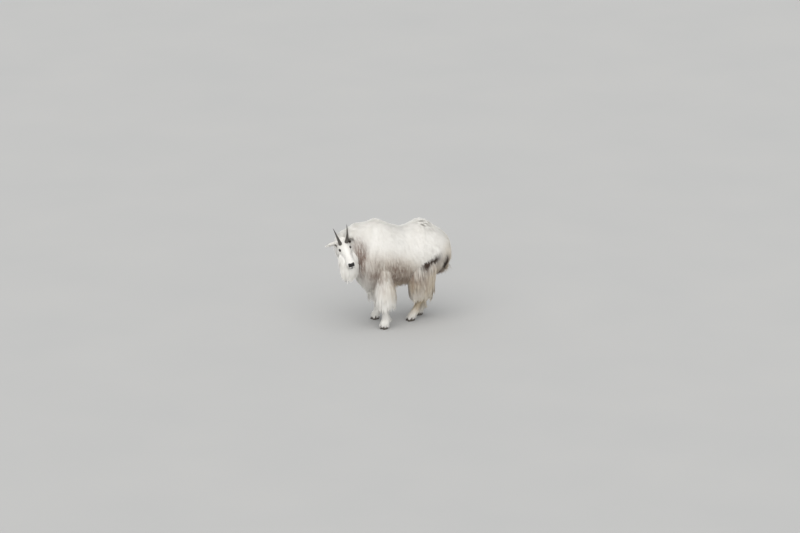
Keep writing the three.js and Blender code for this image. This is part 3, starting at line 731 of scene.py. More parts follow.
# Dark bare skin of the head at its own places: nose pad and nostrils, lips, the rims of the lids and the
# tear ducts at their corners
def bareShare(places):
    f, side, up = np.moveaxis(mirrored(places), -1, 0)
    inMouth, above = mouthLine(places)
    pad = ramp(f - 0.10 * side, *muzzle["edge"]) * ramp(above + 0.25 * side, *muzzle["under"])
    pad = pad * ramp(up, *muzzle["top"]) * ramp(side, *muzzle["wings"])
    lips = ramp(f, *muzzle["lips"]) * np.exp(-(above / 0.0040) ** 4)
    cleft = np.exp(-(side / 0.0030) ** 2) * ramp(f, *muzzle["cleft"]) * ramp(above, 0.0, 0.004)
    lower = ramp(f, *muzzle["lower"]) * ramp(-above, -0.001, 0.003) * ramp(-above, *muzzle["chin"])
    offset = mirrored(places) - eye["at"]
    lidRim = ramp(lengthOf(offset * [0.85, 0.6, 1.0])[..., 0], *rim["dark"])
    duct = (offset[..., ::2] - rim["corner"]) / rim["cornerReach"]
    corner = np.exp(-(duct ** 2).sum(-1))
    dark = [pad, lips, lower, lidRim, 0.8 * corner, cleft, nostrilShare(places) * 1.6]
    return np.clip(np.maximum.reduce(dark), 0, 1)


# Where an eye looks, and the two directions across that: along the slit of the lids, and up
def eyeAxes(side):
    look = unit(leftward * side + forward * eye["ahead"] + crownward * eye["above"])
    slant = math.radians(lid["slant"])
    along = forward * math.cos(slant) - crownward * math.sin(slant)
    along = unit(along - look * dot(along, look))
    up = np.cross(look, along)
    return look, along, up * np.sign(dot(up, crownward))


# Offsets round a circle: first * cos a + second * sin a, times its radius
def circled(first, second, angle, radius):
    return (first * np.cos(angle)[..., None] + second * np.sin(angle)[..., None]) * radius[..., None]


# The lids of an eye as one ring round it. From the almond slit r = 1 / |(cos a / half, sin a / open)| out to
# the ring's edge they lie on a ball a little larger than the eye, curl in at the slit, and sink into
# the socket at the edge.
def lidGrid(side):
    look, along, up = eyeAxes(side)
    t, angle = np.broadcast_arrays(*tubeGrid("lid"))
    slit = 1 / np.hypot(np.cos(angle) / lid["half"], np.sin(angle) / lid["open"])
    far = mix(slit, lid["outer"], t ** 1.2)
    curl = ramp(t, 0, 0.2)
    upper = 1 + 0.5 * np.sin(angle) * ramp(t, 0, 0.3)
    over = eye["radius"] * head["size"] + lid["thick"] * (0.35 + 0.65 * curl) * upper
    high = np.sqrt(np.maximum(over ** 2 - far ** 2, 0)) - lid["sunk"] * ramp(t, 0.55, 1) ** 2
    flat = circled(along, up, angle, far)
    centre = onSide(eye["at"], side)
    outer = centre + flat + look * high[..., None]
    inner = centre + flat * 0.98 + look * (high - lid["thick"] * (0.3 + 0.7 * curl))[..., None]
    return np.concatenate([outer, inner[::-1]])


# How dark the lids are at each of their points, by how far they are from the line the eye looks along
def lidShare(side, points):
    offset = points - onSide(eye["at"], side)
    look = eyeAxes(side)[0]
    return ramp(lengthOf(offset - dot(offset, look) * look)[:, 0], *lid["dark"])


ear = {"at": (0.062, 0.058, 0.034), "length": 0.122, "width": 0.034, "depth": 0.032, "wall": 0.0045,
       "rootInside": 0.022, "edge": 0.006}
# How far each ear points up from the side of the head and forwards, and how far its cup faces down
earPose = {1: {"rise": 70, "ahead": 0.38, "droop": -0.7}, -1: {"rise": 9, "ahead": -0.12, "droop": 0.62}}
earWidths = [0.75, 0.95, 1.05, 0.97, 0.78, 0.46, 0.05]  # from root to tip


# Directions of an ear: out along it, and the way its cup opens
def earAxes(side):
    rise = math.radians(earPose[side]["rise"])
    ahead = forward * earPose[side]["ahead"]
    out = unit(leftward * side * math.cos(rise) + crownward * math.sin(rise) + ahead)
    opening = forward - crownward * earPose[side]["droop"]
    opening = unit(opening - out * dot(opening, out))
    return out, opening, np.cross(opening, out)


# A leaf-shaped cup: an oval tube whose front half is pushed back until it lies a wall's thickness
# before the back half, from a filled root to an open blade, with its edges rolled in
def earGrid(side, s, angle):
    out, opening, across = earAxes(side)
    s, angle = np.broadcast_arrays(s, angle)
    wide = curveThrough(earWidths, s)
    c = np.cos(angle)
    deep = ear["depth"] * wide
    hollow = ramp(s, 0.16, 0.40) * 0.9
    cup = mix(deep, -np.maximum(deep - ear["wall"], 0.15 * deep), hollow)
    high = np.where(c > 0, cup * c, deep * c)
    high = high + ear["edge"] * ramp(s, 0.3, 1) * np.abs(np.sin(angle)) ** 3
    along = (s * ear["length"] - ear["rootInside"]) * head["size"]
    flat = np.sin(angle) * ear["width"] * wide
    root = onSide(ear["at"], side)
    return root + out * along[..., None] + opening * high[..., None] + across * flat[..., None]


# Cheeks and beard, as one wedge of hair under the jaw's line: place along it, drop, and reach to the
# front, back and sides
jawHeight = -0.040
beardOutline = [
    (0.105, -0.045, 0.033, 0.037, 0.056),
    (0.145, -0.028, 0.040, 0.038, 0.066),
    (0.185, -0.004, 0.047, 0.038, 0.075),
    (0.200, 0.034, 0.056, 0.041, 0.079),
    (0.214, 0.070, 0.055, 0.041, 0.076),
    (0.226, 0.104, 0.044, 0.034, 0.064),
    (0.233, 0.130, 0.034, 0.027, 0.053),
    (0.237, 0.146, 0.012, 0.010, 0.024),
]


def beardForm():
    rows = []
    for f, drop, front, back, side in beardOutline:
        rows.append((*(onHead((f, 0, jawHeight)) - skyward * drop), front, back, side))
    return Form(rows, upward=(0, -1, 0), facing=-skyward)


# Every form of soft body. The first group is fused into one surface under the long coat; the head,
# the lower legs and the ears keep their own finer grids and run on into it.
forms = {"trunk": trunkForm(), "neck": neckForm(), "tail": tailForm(), "beard": beardForm()}
for legName, leg in legs.items():
    forms[f"skirt_{legName}"] = skirtForm(leg)
fusedForms = list(forms)
shanks = {name: shankForm(leg) for name, leg in legs.items()}
fusing = {"cell": 0.008, "smooth": 22, "share": 0.5}


# The fused body: every form's tube in one mesh, remeshed in small cells and smoothed
def fusedBody():
    tubes = [closedTube(forms[name].point(*tubeGrid("form"))) for name in fusedForms]
    rough = pieceFrom("rough", joined(tubes))
    remesh = rough.modifiers.new("fuse", "REMESH")
    remesh.mode = "VOXEL"
    remesh.voxel_size = fusing["cell"]
    smooth = rough.modifiers.new("ease", "SMOOTH")
    smooth.factor = fusing["share"]
    smooth.iterations = fusing["smooth"]
    made = rough.evaluated_get(bpy.context.evaluated_depsgraph_get()).to_mesh()
    shape = (pointsOf(made), cornersOf(made).reshape(-1, 4), noFans)
    bpy.data.objects.remove(rough)
    return shape


# Small bulges of a lower leg, as a push of its grid: the bone of the knee or hock, the two balls behind
# the fetlock, the hollows beside the tendon and the point of the hock, each exp(-r^2) along and round it
def shankGrid(name, s, angle):
    leg = legs[name]
    s, angle = np.broadcast_arrays(s, angle)
    form = shanks[name]
    rear = np.maximum(-np.cos(angle), 0)
    bone = 0.004 * np.exp(-(s / 0.10) ** 2)
    balls = 0.005 * np.exp(-((s - 0.50) / 0.06) ** 2) * rear
    tendon = -0.004 * np.exp(-((np.abs(np.abs(angle - np.pi) - 1.0)) / 0.35) ** 2)
    tendon = tendon * ramp(s, 0.06, 0.16) * (1 - ramp(s, 0.36, 0.46))
    hock = (0.012 if leg["hind"] else 0.0) * np.exp(-((s - 0.02) / 0.07) ** 2) * rear ** 2
    base = form.point(s, angle)
    out = unit(form.point(s, angle, 0.01) - base)
    return base + out * (bone + balls + tendon + hock)[..., None]


# Random places on a shape's quads, the normals there, and the face and two shares that each place has.
# Faces are drawn by area times density, and a place is its face's corners mixed by the two shares.
def scatter(points, quads, count, density=1.0):
    a, b, c, d = (points[quads[:, k]] for k in range(4))
    weight = lengthOf(np.cross(c - a, d - b))[:, 0] * density
    chosen = random.choice(len(quads), count, p=weight / weight.sum())
    u, v = random.random((2, count, 1))
    places = mix(mix(a[chosen], b[chosen], u), mix(d[chosen], c[chosen], u), v)
    corners = easedNormals(points, quads)[quads[chosen]]
    normal = mix(mix(corners[:, 0], corners[:, 1], u), mix(corners[:, 3], corners[:, 2], u), v)
    return places, unit(normal), (chosen, u[:, 0], v[:, 0])


# Normals of a shape's points: each face gives the cross product of its diagonals to its corners, and
# the points' normals are then averaged over their faces a few times more
def easedNormals(points, quads, rounds=3):
    a, b, c, d = (points[quads[:, k]] for k in range(4))
    faceNormals = unit(np.cross(c - a, d - b))
    for _ in range(rounds):
        total = np.zeros(points.shape)
        for k in range(4):
            for axis in range(3):
                total[:, axis] += np.bincount(quads[:, k], faceNormals[:, axis], len(points))
        total = unit(total)
        faceNormals = unit(total[quads].mean(1))
    return total


# The tiles of the skin's unwrap: each form's share along it and angle round it fill one rectangle, but
# for a margin
tileColumns = 4
tileMargin = 0.04
tileNames = fusedForms + ["head", "ear_left", "ear_right"] + [f"shank_{name}" for name in legs]


def unwrapped(tile, s, angle):
    column = tile % tileColumns
    row = tile // tileColumns
    rows = math.ceil(len(tileNames) / tileColumns)
    inset = np.stack([s, np.mod(angle / (2 * np.pi), 1)], -1) * (1 - 2 * tileMargin) + tileMargin
    return (np.array([column, row]) + inset) / [tileColumns, rows]


# How each part of the coat grows. Length, width, lift, sag, clump and hug go from the first to the
# second value with the part's own measure. Sag is how far a strand hangs, clump how far its tip draws to
# its clump's middle, and hug how it follows the body's roundness. Shares are the places of its rings.
longShares = (0.0, 0.36, 0.72, 1.0)
shortShares = (0.0, 0.52, 1.0)
coats = {
    "trunk": {
        "count": 56000, "clumps": 6000, "length": (0.060, 0.104), "width": (0.0040, 0.0046),
        "lift": (24, 14), "sag": (0.0, 0.25), "clump": (0.1, 0.5), "hug": (2.8, 1.2), "shares": shortShares,
    },
    "neck": {
        "count": 15500, "clumps": 1800, "length": (0.060, 0.104), "width": (0.0040, 0.0046),
        "lift": (24, 14), "sag": (0.0, 0.30), "clump": (0.12, 0.5), "hug": (3.0, 1.3), "shares": shortShares,
    },
    "skirt": {
        "count": 24000, "clumps": 1700, "length": (0.104, 0.150), "width": (0.0046, 0.0052),
        "lift": (14, 12), "sag": (0.25, 0.25), "clump": (0.5, 0.68), "hug": (1.2, 0.5), "shares": longShares,
    },
    "tail": {
        "count": 1100, "clumps": 80, "length": (0.085, 0.085), "width": (0.0050, 0.0050),
        "lift": (10, 10), "sag": (0.2, 0.2), "clump": (0.6, 0.6), "hug": (0.0, 0.0), "shares": longShares,
    },
    "beard": {
        "count": 6800, "clumps": 520, "length": (0.075, 0.110), "width": (0.0042, 0.0048),
        "lift": (12, 9), "sag": (0.3, 0.3), "clump": (0.2, 0.5), "hug": (0.0, 0.5), "shares": longShares,
    },
    "head": {
        "count": 17500, "clumps": 3000, "length": (0.011, 0.052), "width": (0.0022, 0.0038),
        "lift": (13, 13), "sag": (0.0, 0.30), "clump": (0.1, 0.45), "hug": (3.5, 0.8), "shares": shortShares,
    },
    "ear": {
        "count": 3600, "clumps": 600, "length": (0.014, 0.024), "width": (0.0020, 0.0024),
        "lift": (10, 16), "sag": (0.0, 0.1), "clump": (0.2, 0.4), "hug": (0.0, 0.0), "shares": shortShares,
    },
    "shank": {
        "count": 2900, "clumps": 520, "length": (0.022, 0.038), "width": (0.0032, 0.0040),
        "lift": (24, 34), "sag": (0.0, 0.15), "clump": (0.25, 0.5), "hug": (2.0, 1.0), "shares": shortShares,
    },
}
# How much single strands differ: stray of the lie, and the least and most share of the other values
spreads = {"lie": 0.035, "length": (0.78, 1.15), "hem": (0.9, 1.1), "width": (0.75, 1.2), "lift": (0.7, 1.3)}
clumpLengths = (0.84, 0.32)  # share of the length that every clump has, and what its own tone adds
clumpHems = (0.82, 0.36)
curve = {"ahead": 0.9, "back": 0.75, "turns": 5, "wave": 0.014}  # of a strand along its length
cleanKinds = ("head", "beard")
cleanStains = 0.05  # how much of the stains and painted shade the clean kinds take on
strandRidge = 0.20  # height of a strand's ridge, as a share of its width
patchSize = 0.003  # of a strand on the unwrap
rootDepth = 0.004  # of a strand below the skin
roundness = 0.5  # how far the shading of its edges turns from the skin's own


# A strand's width along it: it swells to the full width and tapers to a point
def strandWidth(t):
    return np.where(t < 1, (0.75 + 0.25 * ramp(t, 0, 0.36)) * (1 - 0.5 * ramp(t, 0.36, 1.0)), 0)


# The nearest of the seeds for each point, by |p|^2 - 2 p.q + |q|^2 in blocks
def nearestSeed(points, seeds):
    found = np.empty(len(points), int)
    for start in range(0, len(points), 4000):
        block = points[start:start + 4000]
        found[start:start + 4000] = np.argmin((seeds ** 2).sum(-1) - 2 * block @ seeds.T, 1)
    return found


# Roots of one part of the coat, and how each grows
class Growth:
    def __init__(self, kind, root, normal, lie, measure, tile, s, angle, longest=None):
        values = coats[kind]
        count = len(root)
        self.root = root
        self.normal = normal
        jitter = random.normal(0, spreads["lie"], (count, 3))
        self.lie = unit(lie - normal * dot(lie, normal))
        self.lie = unit(self.lie + jitter - normal * dot(jitter, normal))
        self.uv = unwrapped(tile, s, angle)
        self.over = np.cos(angle)
        clumps = min(count, max(4, values["clumps"] * count // values["count"]))
        seeds = random.choice(count, clumps, replace=False)
        self.guide = seeds[nearestSeed(root, root[seeds])]
        self.clumpTone = random.random(count)[self.guide]
        self.tone = 0.55 * self.clumpTone + 0.45 * random.random(count)
        self.length = mix(*values["length"], measure) * random.uniform(*spreads["length"], count)
        self.length *= clumpLengths[0] + clumpLengths[1] * self.clumpTone
        if longest is not None:
            ragged = random.uniform(*spreads["hem"], count)
            ragged = ragged * (clumpHems[0] + clumpHems[1] * self.clumpTone)
            self.length = np.minimum(self.length, longest * ragged)
        self.width = mix(*values["width"], measure) * random.uniform(*spreads["width"], count)
        self.lift = np.radians(mix(*values["lift"], measure) * random.uniform(*spreads["lift"], count))
        self.sag = mix(*values["sag"], measure)
        self.clump = mix(*values["clump"], measure)
        self.hug = mix(*values["hug"], measure)
        self.stained = cleanStains if kind in cleanKinds else 1.0
        self.shares = values["shares"]

    # The strands that a mask keeps. One whose clump's middle strand goes is left on its own.
    def part(self, mask):
        kept = np.flatnonzero(mask)
        order = np.full(len(mask), -1)
        order[kept] = np.arange(len(kept))
        chosen = copy.copy(self)
        for key, value in vars(self).items():
            if isinstance(value, np.ndarray):
                setattr(chosen, key, value[kept])
        guide = order[self.guide[kept]]
        chosen.guide = np.where(guide < 0, np.arange(len(kept)), guide)
        return chosen


# A strand leaves the skin at its lift, bends back to lie along the coat and sags. Its middle line is
# root + length * (start * t + bend * t^2 / 2) - normal * hug * (length * t)^2. It draws towards its
# clump's middle strand by clump * t^1.1, and its triangular section tapers to a point.
def strandShape(growth):
    shares = np.array(growth.shares)
    t = shares[None, :, None]
    tall = growth.length[:, None, None]
    start = growth.lie * np.cos(growth.lift)[:, None] + growth.normal * np.sin(growth.lift)[:, None]
    sag = -skyward * growth.sag[:, None]
    bend = growth.lie * curve["ahead"] - start * curve["back"] + sag
    path = growth.root[:, None] + tall * (start[:, None] * t + bend[:, None] * t * t * 0.5)
    path = path - growth.normal[:, None] * growth.hug[:, None, None] * (tall * t) ** 2
    path = mix(path, path[growth.guide], growth.clump[:, None, None] * t ** 1.1)
    wave = np.sin(t * curve["turns"] + growth.tone[:, None, None] * 20) * t
    beside = np.cross(growth.lie, growth.normal)
    path = path + beside[:, None] * wave * tall * curve["wave"]
    path[:, 0] -= growth.normal * rootDepth
    along = unit(np.gradient(path, axis=1))
    across = unit(np.cross(along, growth.normal[:, None]))
    up = np.cross(across, along)
    wide = growth.width[:, None, None] * strandWidth(t)
    rings = np.stack([
        path - across * wide / 2,
        path + up * wide * strandRidge,
        path + across * wide / 2,
    ], 2)
    count = len(path)
    points = np.concatenate([rings[:, :-1].reshape(count, -1, 3), path[:, -1:]], 1)
    each = points.shape[1]
    quads = []
    for ring in range(len(shares) - 2):
        for side in range(3):
            low = ring * 3 + side
            beyond = ring * 3 + (side + 1) % 3
            quads.append([low, beyond, beyond + 3, low + 3])
    last = each - 4
    fans = [[last + side, last + (side + 1) % 3, each - 1] for side in range(3)] + [[2, 1, 0]]
    starts = np.arange(count)[:, None, None] * each
    shape = (points.reshape(-1, 3), (starts + np.array(quads)).reshape(-1, 4),
             (starts + np.array(fans)).reshape(-1, 3))
    ringShares = np.concatenate([np.repeat(shares[:-1], 3), [1.0]])
    acrossShares = np.concatenate([np.tile([0.0, 0.5, 1.0], len(shares) - 1), [0.5]])
    beside = np.cross(growth.normal, growth.lie)[:, None] * (acrossShares[:, None] - 0.5) * roundness
    normals = unit(growth.normal[:, None] + beside)
    shading = [cornerNormals(normals, growth.normal, np.array(faces)) for faces in (quads, fans)]
    return shape, shading, ringShares, acrossShares


# Shading normals at the corners of each strand's faces: the skin's own, turned a little to the
# strand's edges, and mirrored on every third face, which is the underside
def cornerNormals(normals, skinNormal, faces):
    corners = normals[:, faces]
    below = corners[:, 2::3]
    skin = skinNormal[:, None, None]
    corners[:, 2::3] = below - 2 * skin * dot(below, skin)
    return corners.reshape(-1, 3).astype(np.float32)


# One coat piece from several growths, with its unwrap and the marks its material reads
def makeCoat(name, growths, material):
    shapes = []
    shadings = []
    rows = []
    for growth in growths:
        shape, shading, ringShares, acrossShares = strandShape(growth)
        shapes.append(shape)
        shadings.append(shading)
        each = len(ringShares)
        count = len(growth.root)
        marks = np.empty((count, each, 3))
        marks[..., 0] = ringShares
        marks[..., 1] = growth.tone[:, None]
        marks[..., 2] = acrossShares
        patch = np.stack([acrossShares, ringShares], -1) - 0.5
        patches = growth.uv[:, None] + patch * patchSize
        stained = np.full((count * each, 1), growth.stained)
        rows.append((marks.reshape(-1, 3), patches.reshape(-1, 2), np.repeat(growth.root, each, 0), stained))
    marks, patches, roots, stained = (np.concatenate(parts) for parts in zip(*rows))
    piece = pieceFrom(name, joined(shapes), material)
    mesh = piece.data
    mesh.normals_split_custom_set(np.concatenate([shading[k] for k in (0, 1) for shading in shadings]))
    setMarks(piece, "strand", marks)
    # stains and painted shade of each strand, read halfway between its points and its root
    setMarks(piece, "stainAndShade", stainAndShadeShares(mix(pointsOf(mesh), roots, 0.5)) * stained)
    layer = mesh.uv_layers.new(name="OFBake")
    layer.data.foreach_set("uv", patches[cornersOf(mesh)].astype(np.float32).ravel())
    print(f"{name}: {len(mesh.loops) - 2 * len(mesh.polygons)} triangles")
    return piece


# Colours of the coat and the bare skin
coatColours = {
    "white": colour(250, 248, 243),
    "shade": colour(232, 226, 216),
    "tan": colour(203, 186, 158),
    # brown of stains, and painted shade on the neck's side behind the face
    "brownStainAndShade": colour(142, 121, 110),
    # deep brown of stains, and painted shade in the thigh's crease and under the tail
    "deep": colour(66, 51, 41),
    "bare": colour(33, 30, 29),
    "inner": colour(62, 50, 44),
}


# The coat's colour from its stains and painted shade: each is broken up by streaks that run down the
# animal, and lies over the one before
def stainedAndShadedColour(paint, tone):
    tan, brownStainAndShade, deep = paint.marks("stainAndShade")
    streaks = paint.noise(64, 3.0, stretch=(1, 1, 0.07))
    patches = paint.noise(7, 2.0)
    broken = tone * 0.5 + streaks * 0.7 + patches * 0.5
    white = paint.blend((patches * 0.35).held(), coatColours["white"], coatColours["shade"])
    warm = paint.blend((tan * broken * 1.15).held(), white, coatColours["tan"])
    # brown: stains, and painted shade on the neck's side behind the face
    brownish = paint.blend((brownStainAndShade * broken.between(0.45, 1.25) * 1.5).held(), warm, coatColours["brownStainAndShade"])
    # deep brown: stains, and painted shade in the thigh's crease and under the tail
    return paint.blend((deep * broken.between(0.2, 0.9) * 1.25).held(), brownish, coatColours["deep"])


# Strands of the coat: painted shade darker at the root, a little random tone, and fine hair lines along each
def coatMaterial():
    paint = Paint("coat", Sheen_Weight=0.2, Sheen_Roughness=0.5, Specular_IOR_Level=0.3)
    along, tone, _ = paint.marks("strand")
    base = stainedAndShadedColour(paint, tone)
    # painted shade: each strand darker towards its root, with a little random tone added
    rootShadeAndTone = along.between(-0.1, 0.7) * 0.10 + 0.89 + (tone - 0.5) * 0.06
    grey = paint.node("ShaderNodeCombineXYZ", None, {0: rootShadeAndTone, 1: rootShadeAndTone, 2: rootShadeAndTone})
    shaded = paint.blend(1.0, base, grey, "MULTIPLY")
    strand = paint.node("ShaderNodeAttribute", {"attribute_name": "strand"}, out="Vector")
    hairs = paint.noise(1.0, 2.0, stretch=(1.2, 60.0, 7.0), place=strand)
    rough = tone * 0.14 + 0.62
    return paint.feed(Base_Color=shaded, Roughness=rough, Normal=paint.bump(hairs, 0.5, 0.0006))


# The skin under the coat: the same stains and painted shade, a nap of short fur, and dark bare skin where it
# has none
def skinMaterial():
    paint = Paint("skin", Sheen_Weight=0.15, Specular_IOR_Level=0.35)
    bare, inner, _ = paint.marks("bare")
    base = stainedAndShadedColour(paint, paint.noise(90, 2.0))
    lined = paint.blend(inner, base, coatColours["inner"])
    skin = paint.blend(bare, lined, coatColours["bare"])
    nap = paint.noise(700, 3.0)
    pores = paint.node("ShaderNodeTexVoronoi", None, {"Vector": paint.place(), "Scale": 520})
    height = nap * (1 - bare) + pores * bare * 1.2
    rough = 0.82 - bare * 0.40 + nap * 0.08
    return paint.feed(Base_Color=skin, Roughness=rough, Normal=paint.bump(height, 0.6, 0.0012))


# Black horn: rings of growth near the root, fine grooves along it and a polished tip
def hornMaterial():
    paint = Paint("horn", Specular_IOR_Level=0.55)
    along, _, _ = paint.marks("grow")
    grooves = paint.noise(150, 3.0)
    wear = (grooves * 0.7 + (1 - along) * 0.3).held()
    base = paint.blend(wear, colour(34, 32, 31), colour(112, 106, 99))
    rough = 0.50 - along * 0.22 + grooves * 0.12
    return paint.feed(Base_Color=base, Roughness=rough, Normal=paint.bump(grooves, 0.35, 0.0008))


# Hoof: grey-black wall with growth lines across it, paler and dusty at the rim
def hoofMaterial():
    paint = Paint("hoof", Specular_IOR_Level=0.45)
    high, _, _ = paint.marks("grow")
    lines = paint.noise(220, 2.0, stretch=(0.2, 0.2, 1.0))
    dust = paint.noise(60, 3.0)
    base = paint.blend((dust * 0.6 + (1 - high) * 0.35).held(), colour(38, 35, 33), colour(104, 96, 87))
    rough = 0.55 + dust * 0.25
    return paint.feed(Base_Color=base, Roughness=rough, Normal=paint.bump(lines, 0.5, 0.0008))


# Eye: dark amber iris round a level slit of a pupil, under a wet clear coat
def eyeMaterial():
    paint = Paint("eye", Roughness=0.12, Coat_Weight=1.0, Coat_Roughness=0.03)
    across, up, _ = paint.marks("look")
    far = (across * across + up * up) ** 0.5
    fibres = paint.noise(1400, 2.0)
    iris = paint.blend(fibres.between(0.3, 0.7), colour(58, 38, 22), colour(96, 66, 36))
    ringed = paint.blend(far.between(0.52, 0.74), iris, colour(30, 20, 15))
    slit = ((across / 0.40) ** 4 + (up / 0.16) ** 4).between(0.75, 1.25)
    return paint.feed(Base_Color=paint.blend(slit, colour(5, 5, 6), ringed))


# Plain pale floor with the faintest unevenness
def floorMaterial():
    paint = Paint("floor", Specular_IOR_Level=0.2)
    tint = paint.blend(paint.noise(0.8, 2.0), colour(184, 184, 183), colour(190, 189, 187))
    return paint.feed(Base_Color=tint, Roughness=0.85 + paint.noise(3) * 0.1)


hornSize = {"at": (0.084, 0.028, 0.052), "length": 0.215, "radius": 0.0172, "spread": 11, "bend": 62,
            "lean": 14, "tip": 0.1}
hornRings = {"count": 9, "height": 0.0011, "fades": (0.3, 0.55)}


# A horn: circles whose radius tapers as 1 - (1 - tip) t^1.2, carried along an arc that leaves the crown
# leaning forward and bends back, and spreads outwards. Rings of growth swell its lower half.
def hornGrid(side, t, angle):
    t, angle = np.broadcast_arrays(t, angle)
    bend = math.radians(hornSize["bend"])
    lean = math.radians(hornSize["lean"])
    radius = hornSize["length"] * head["size"] / bend
    turned = bend * t - lean
    back = radius * (math.cos(lean) - np.cos(turned))
    high = radius * (np.sin(turned) + math.sin(lean))
    wide = math.tan(math.radians(hornSize["spread"])) * hornSize["length"] * t
    centre = onSide(hornSize["at"], side) - forward * back[..., None] + crownward * high[..., None]
    centre = centre + leftward * side * wide[..., None]
    along = unit(np.gradient(centre, axis=0))
    across = unit(np.cross(along, forward))
    front = np.cross(across, along)
    thick = hornSize["radius"] * head["size"] * (1 - (1 - hornSize["tip"]) * np.clip(t, 0, 1) ** 1.2)
    ring = np.abs(np.sin(np.pi * hornRings["count"] * t / hornRings["fades"][1])) ** 0.6
    thick = thick + hornRings["height"] * ring * (1 - ramp(t, *hornRings["fades"]))
    thick = thick * np.sqrt(np.clip((1 - t) * 30, 0, 1))
    return centre + circled(across, front, angle, thick)


hoofSize = {"length": 0.082, "width": 0.033, "height": 0.046, "apart": 0.037, "dome": 0.8, "back": 0.010}


# A claw of the hoof: an outline that narrows to the toe, (cos a, sin a) times half its length and
# width, drawn in and back as it rises, with a rounded rim below and a dome above
def clawGrid(leg, side, t, angle):
    t, angle = np.broadcast_arrays(t, angle)
    step, aside = footAxes(leg)
    c = np.cos(angle)
    wall = np.clip(t / hoofSize["dome"], 0, 1)
    dome = np.clip((t - hoofSize["dome"]) / (1 - hoofSize["dome"]), 0, 1)
    drawn = np.sqrt(np.clip(1 - dome ** 2, 0.0004, 1)) * (1 - 0.06 * (1 - ramp(t, 0, 0.1)))
    toe = 1 - 0.35 * np.maximum(c, 0) ** 2
    fore = c * hoofSize["length"] * (0.5 - 0.08 * wall) * drawn - hoofSize["back"] * wall
    out = np.sin(angle) * hoofSize["width"] * (0.5 - 0.04 * wall) * toe * drawn
    high = hoofSize["height"] * (wall * 0.86 + 0.14 * dome) * (0.9 + 0.1 * c)
    foot = np.array(leg["foot"]) - middle + aside * side * hoofSize["apart"] / 2
    return foot + step * fore[..., None] + aside * out[..., None] + skyward * high[..., None]


dewclaw = {"radius": 0.010, "length": 0.024, "behind": 0.026, "slope": 0.016, "aside": 0.019, "drop": 0.006}


# A dewclaw: a short blunt cone behind the fetlock
def dewclawGrid(leg, side, t, angle):
    t, angle = np.broadcast_arrays(t, angle)
    step, aside = footAxes(leg)
    behind = dewclaw["behind"] + dewclaw["slope"] * t
    drop = dewclaw["drop"] + dewclaw["length"] * t
    centre = np.array(leg["fetlock"]) - middle + aside * side * dewclaw["aside"]
    centre = centre - step * behind[..., None] - skyward * drop[..., None]
    thick = dewclaw["radius"] * (1 - 0.4 * t) * np.sqrt(np.clip((1 - t) * 4, 0.01, 1))
    return centre + circled(step, aside, angle, thick)


cornea = {"height": 0.0009, "reach": 0.55, "pole": 0.02}


# An eyeball: a ball about the line it looks along, with the cornea raised by height * exp(-(turn /
# reach)^2), and the place of each point on the iris
def eyeGrid(side):
    look, along, up = eyeAxes(side)
    t, angle = np.broadcast_arrays(*tubeGrid("eye"))
    turn = mix(cornea["pole"], np.pi - cornea["pole"], t)
    radius = eye["radius"] * head["size"] + cornea["height"] * np.exp(-(turn / cornea["reach"]) ** 2)
    outwardWay = circled(along, up, angle, np.sin(turn)) + look * np.cos(turn)[..., None]
    grid = onSide(eye["at"], side) + outwardWay * radius[..., None]
    return grid, np.stack([turn * np.cos(angle), turn * np.sin(angle), 0 * turn], -1)


makeCamera()
print("camera placed")

coatPaint = coatMaterial()
skinPaint = skinMaterial()
hornPaint = hornMaterial()
hoofPaint = hoofMaterial()
eyePaint = eyeMaterial()
print("materials made")

# The skin: the fused body, the head, the lids, the ears and the lower legs
body = fusedBody()
print(f"body fused: {len(body[0])} points")
headShape = outwards(closedTube(onHead(headSurface(*tubeGrid("head", headCrowd)))))
skinShapes = [body, headShape]
bareMarks = [marksOf(body), marksOf(headShape, bareShare(fromHead(headShape[0])))]
tubes = {}
for sideName, side in sides.items():
    lids = outwards(closedRing(lidGrid(side)))
    s, angle = tubeGrid("ear")
    tube = closedTube(earGrid(side, s, angle))
    cupped = np.cos(angle) * ramp(s, 0.12, 0.3) * (1 - ramp(s, 0.72, 0.98))
    tubes[f"ear_{sideName}"] = tube
    skinShapes += [lids, outwards(tube)]
    bareMarks += [marksOf(lids, lidShare(side, lids[0])), marksOf(tube, ramp(cupped, 0.25, 0.7).ravel(), 1)]
for name in legs:
    tubes[name] = closedTube(shankGrid(name, *tubeGrid("shank")))
    skinShapes.append(tubes[name])
    bareMarks.append(marksOf(tubes[name]))
skin = pieceFrom("skin", joined(skinShapes), skinPaint)
setMarks(skin, "bare", np.concatenate(bareMarks))
# the skin takes the same stains and painted shade, faintly on the head
stained = np.ones((len(skin.data.vertices), 1))
stained[len(body[0]):len(body[0]) + len(headShape[0])] = cleanStains
setMarks(skin, "stainAndShade", stainAndShadeShares(pointsOf(skin.data)) * stained)
flesh = ["head", "neck", "torso", "tail", "beard", "ear_left", "ear_right"]
flesh += [f"{part}_leg_{name}" for part in ("upper", "lower") for name in legs]
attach(skin, "root")
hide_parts(*flesh)
print("skin made")

# Which form each face of the fused body belongs to: the one whose surface is nearest
points, quads, _ = body
centres = points[quads].mean(1)
near = [np.abs(forms[name].locate(centres)[2] - 1) * forms[name].reaches.mean() for name in fusedForms]
owner = np.argmin(near, 0)
headRows = []
for f, top, bottom, half in headStations:
    headRows.append((f, 0, (top + bottom) / 2, (top - bottom) / 2, (top - bottom) / 2, half))
headForm = Form(headRows, facing=-heading)
growths = {}
neckRun = unit(forms["neck"].centres[0] - forms["neck"].centres[-1])
# Its part that runs back: where it turns from the neck's line to the trunk's, its least size, what
# upward skin adds to it and from which upward share of the normal, and the stray of every strand
runs = {"turns": (-0.60, -0.36), "least": 0.10, "more": 0.24, "facing": (-0.5, 0.3), "stray": 0.05}


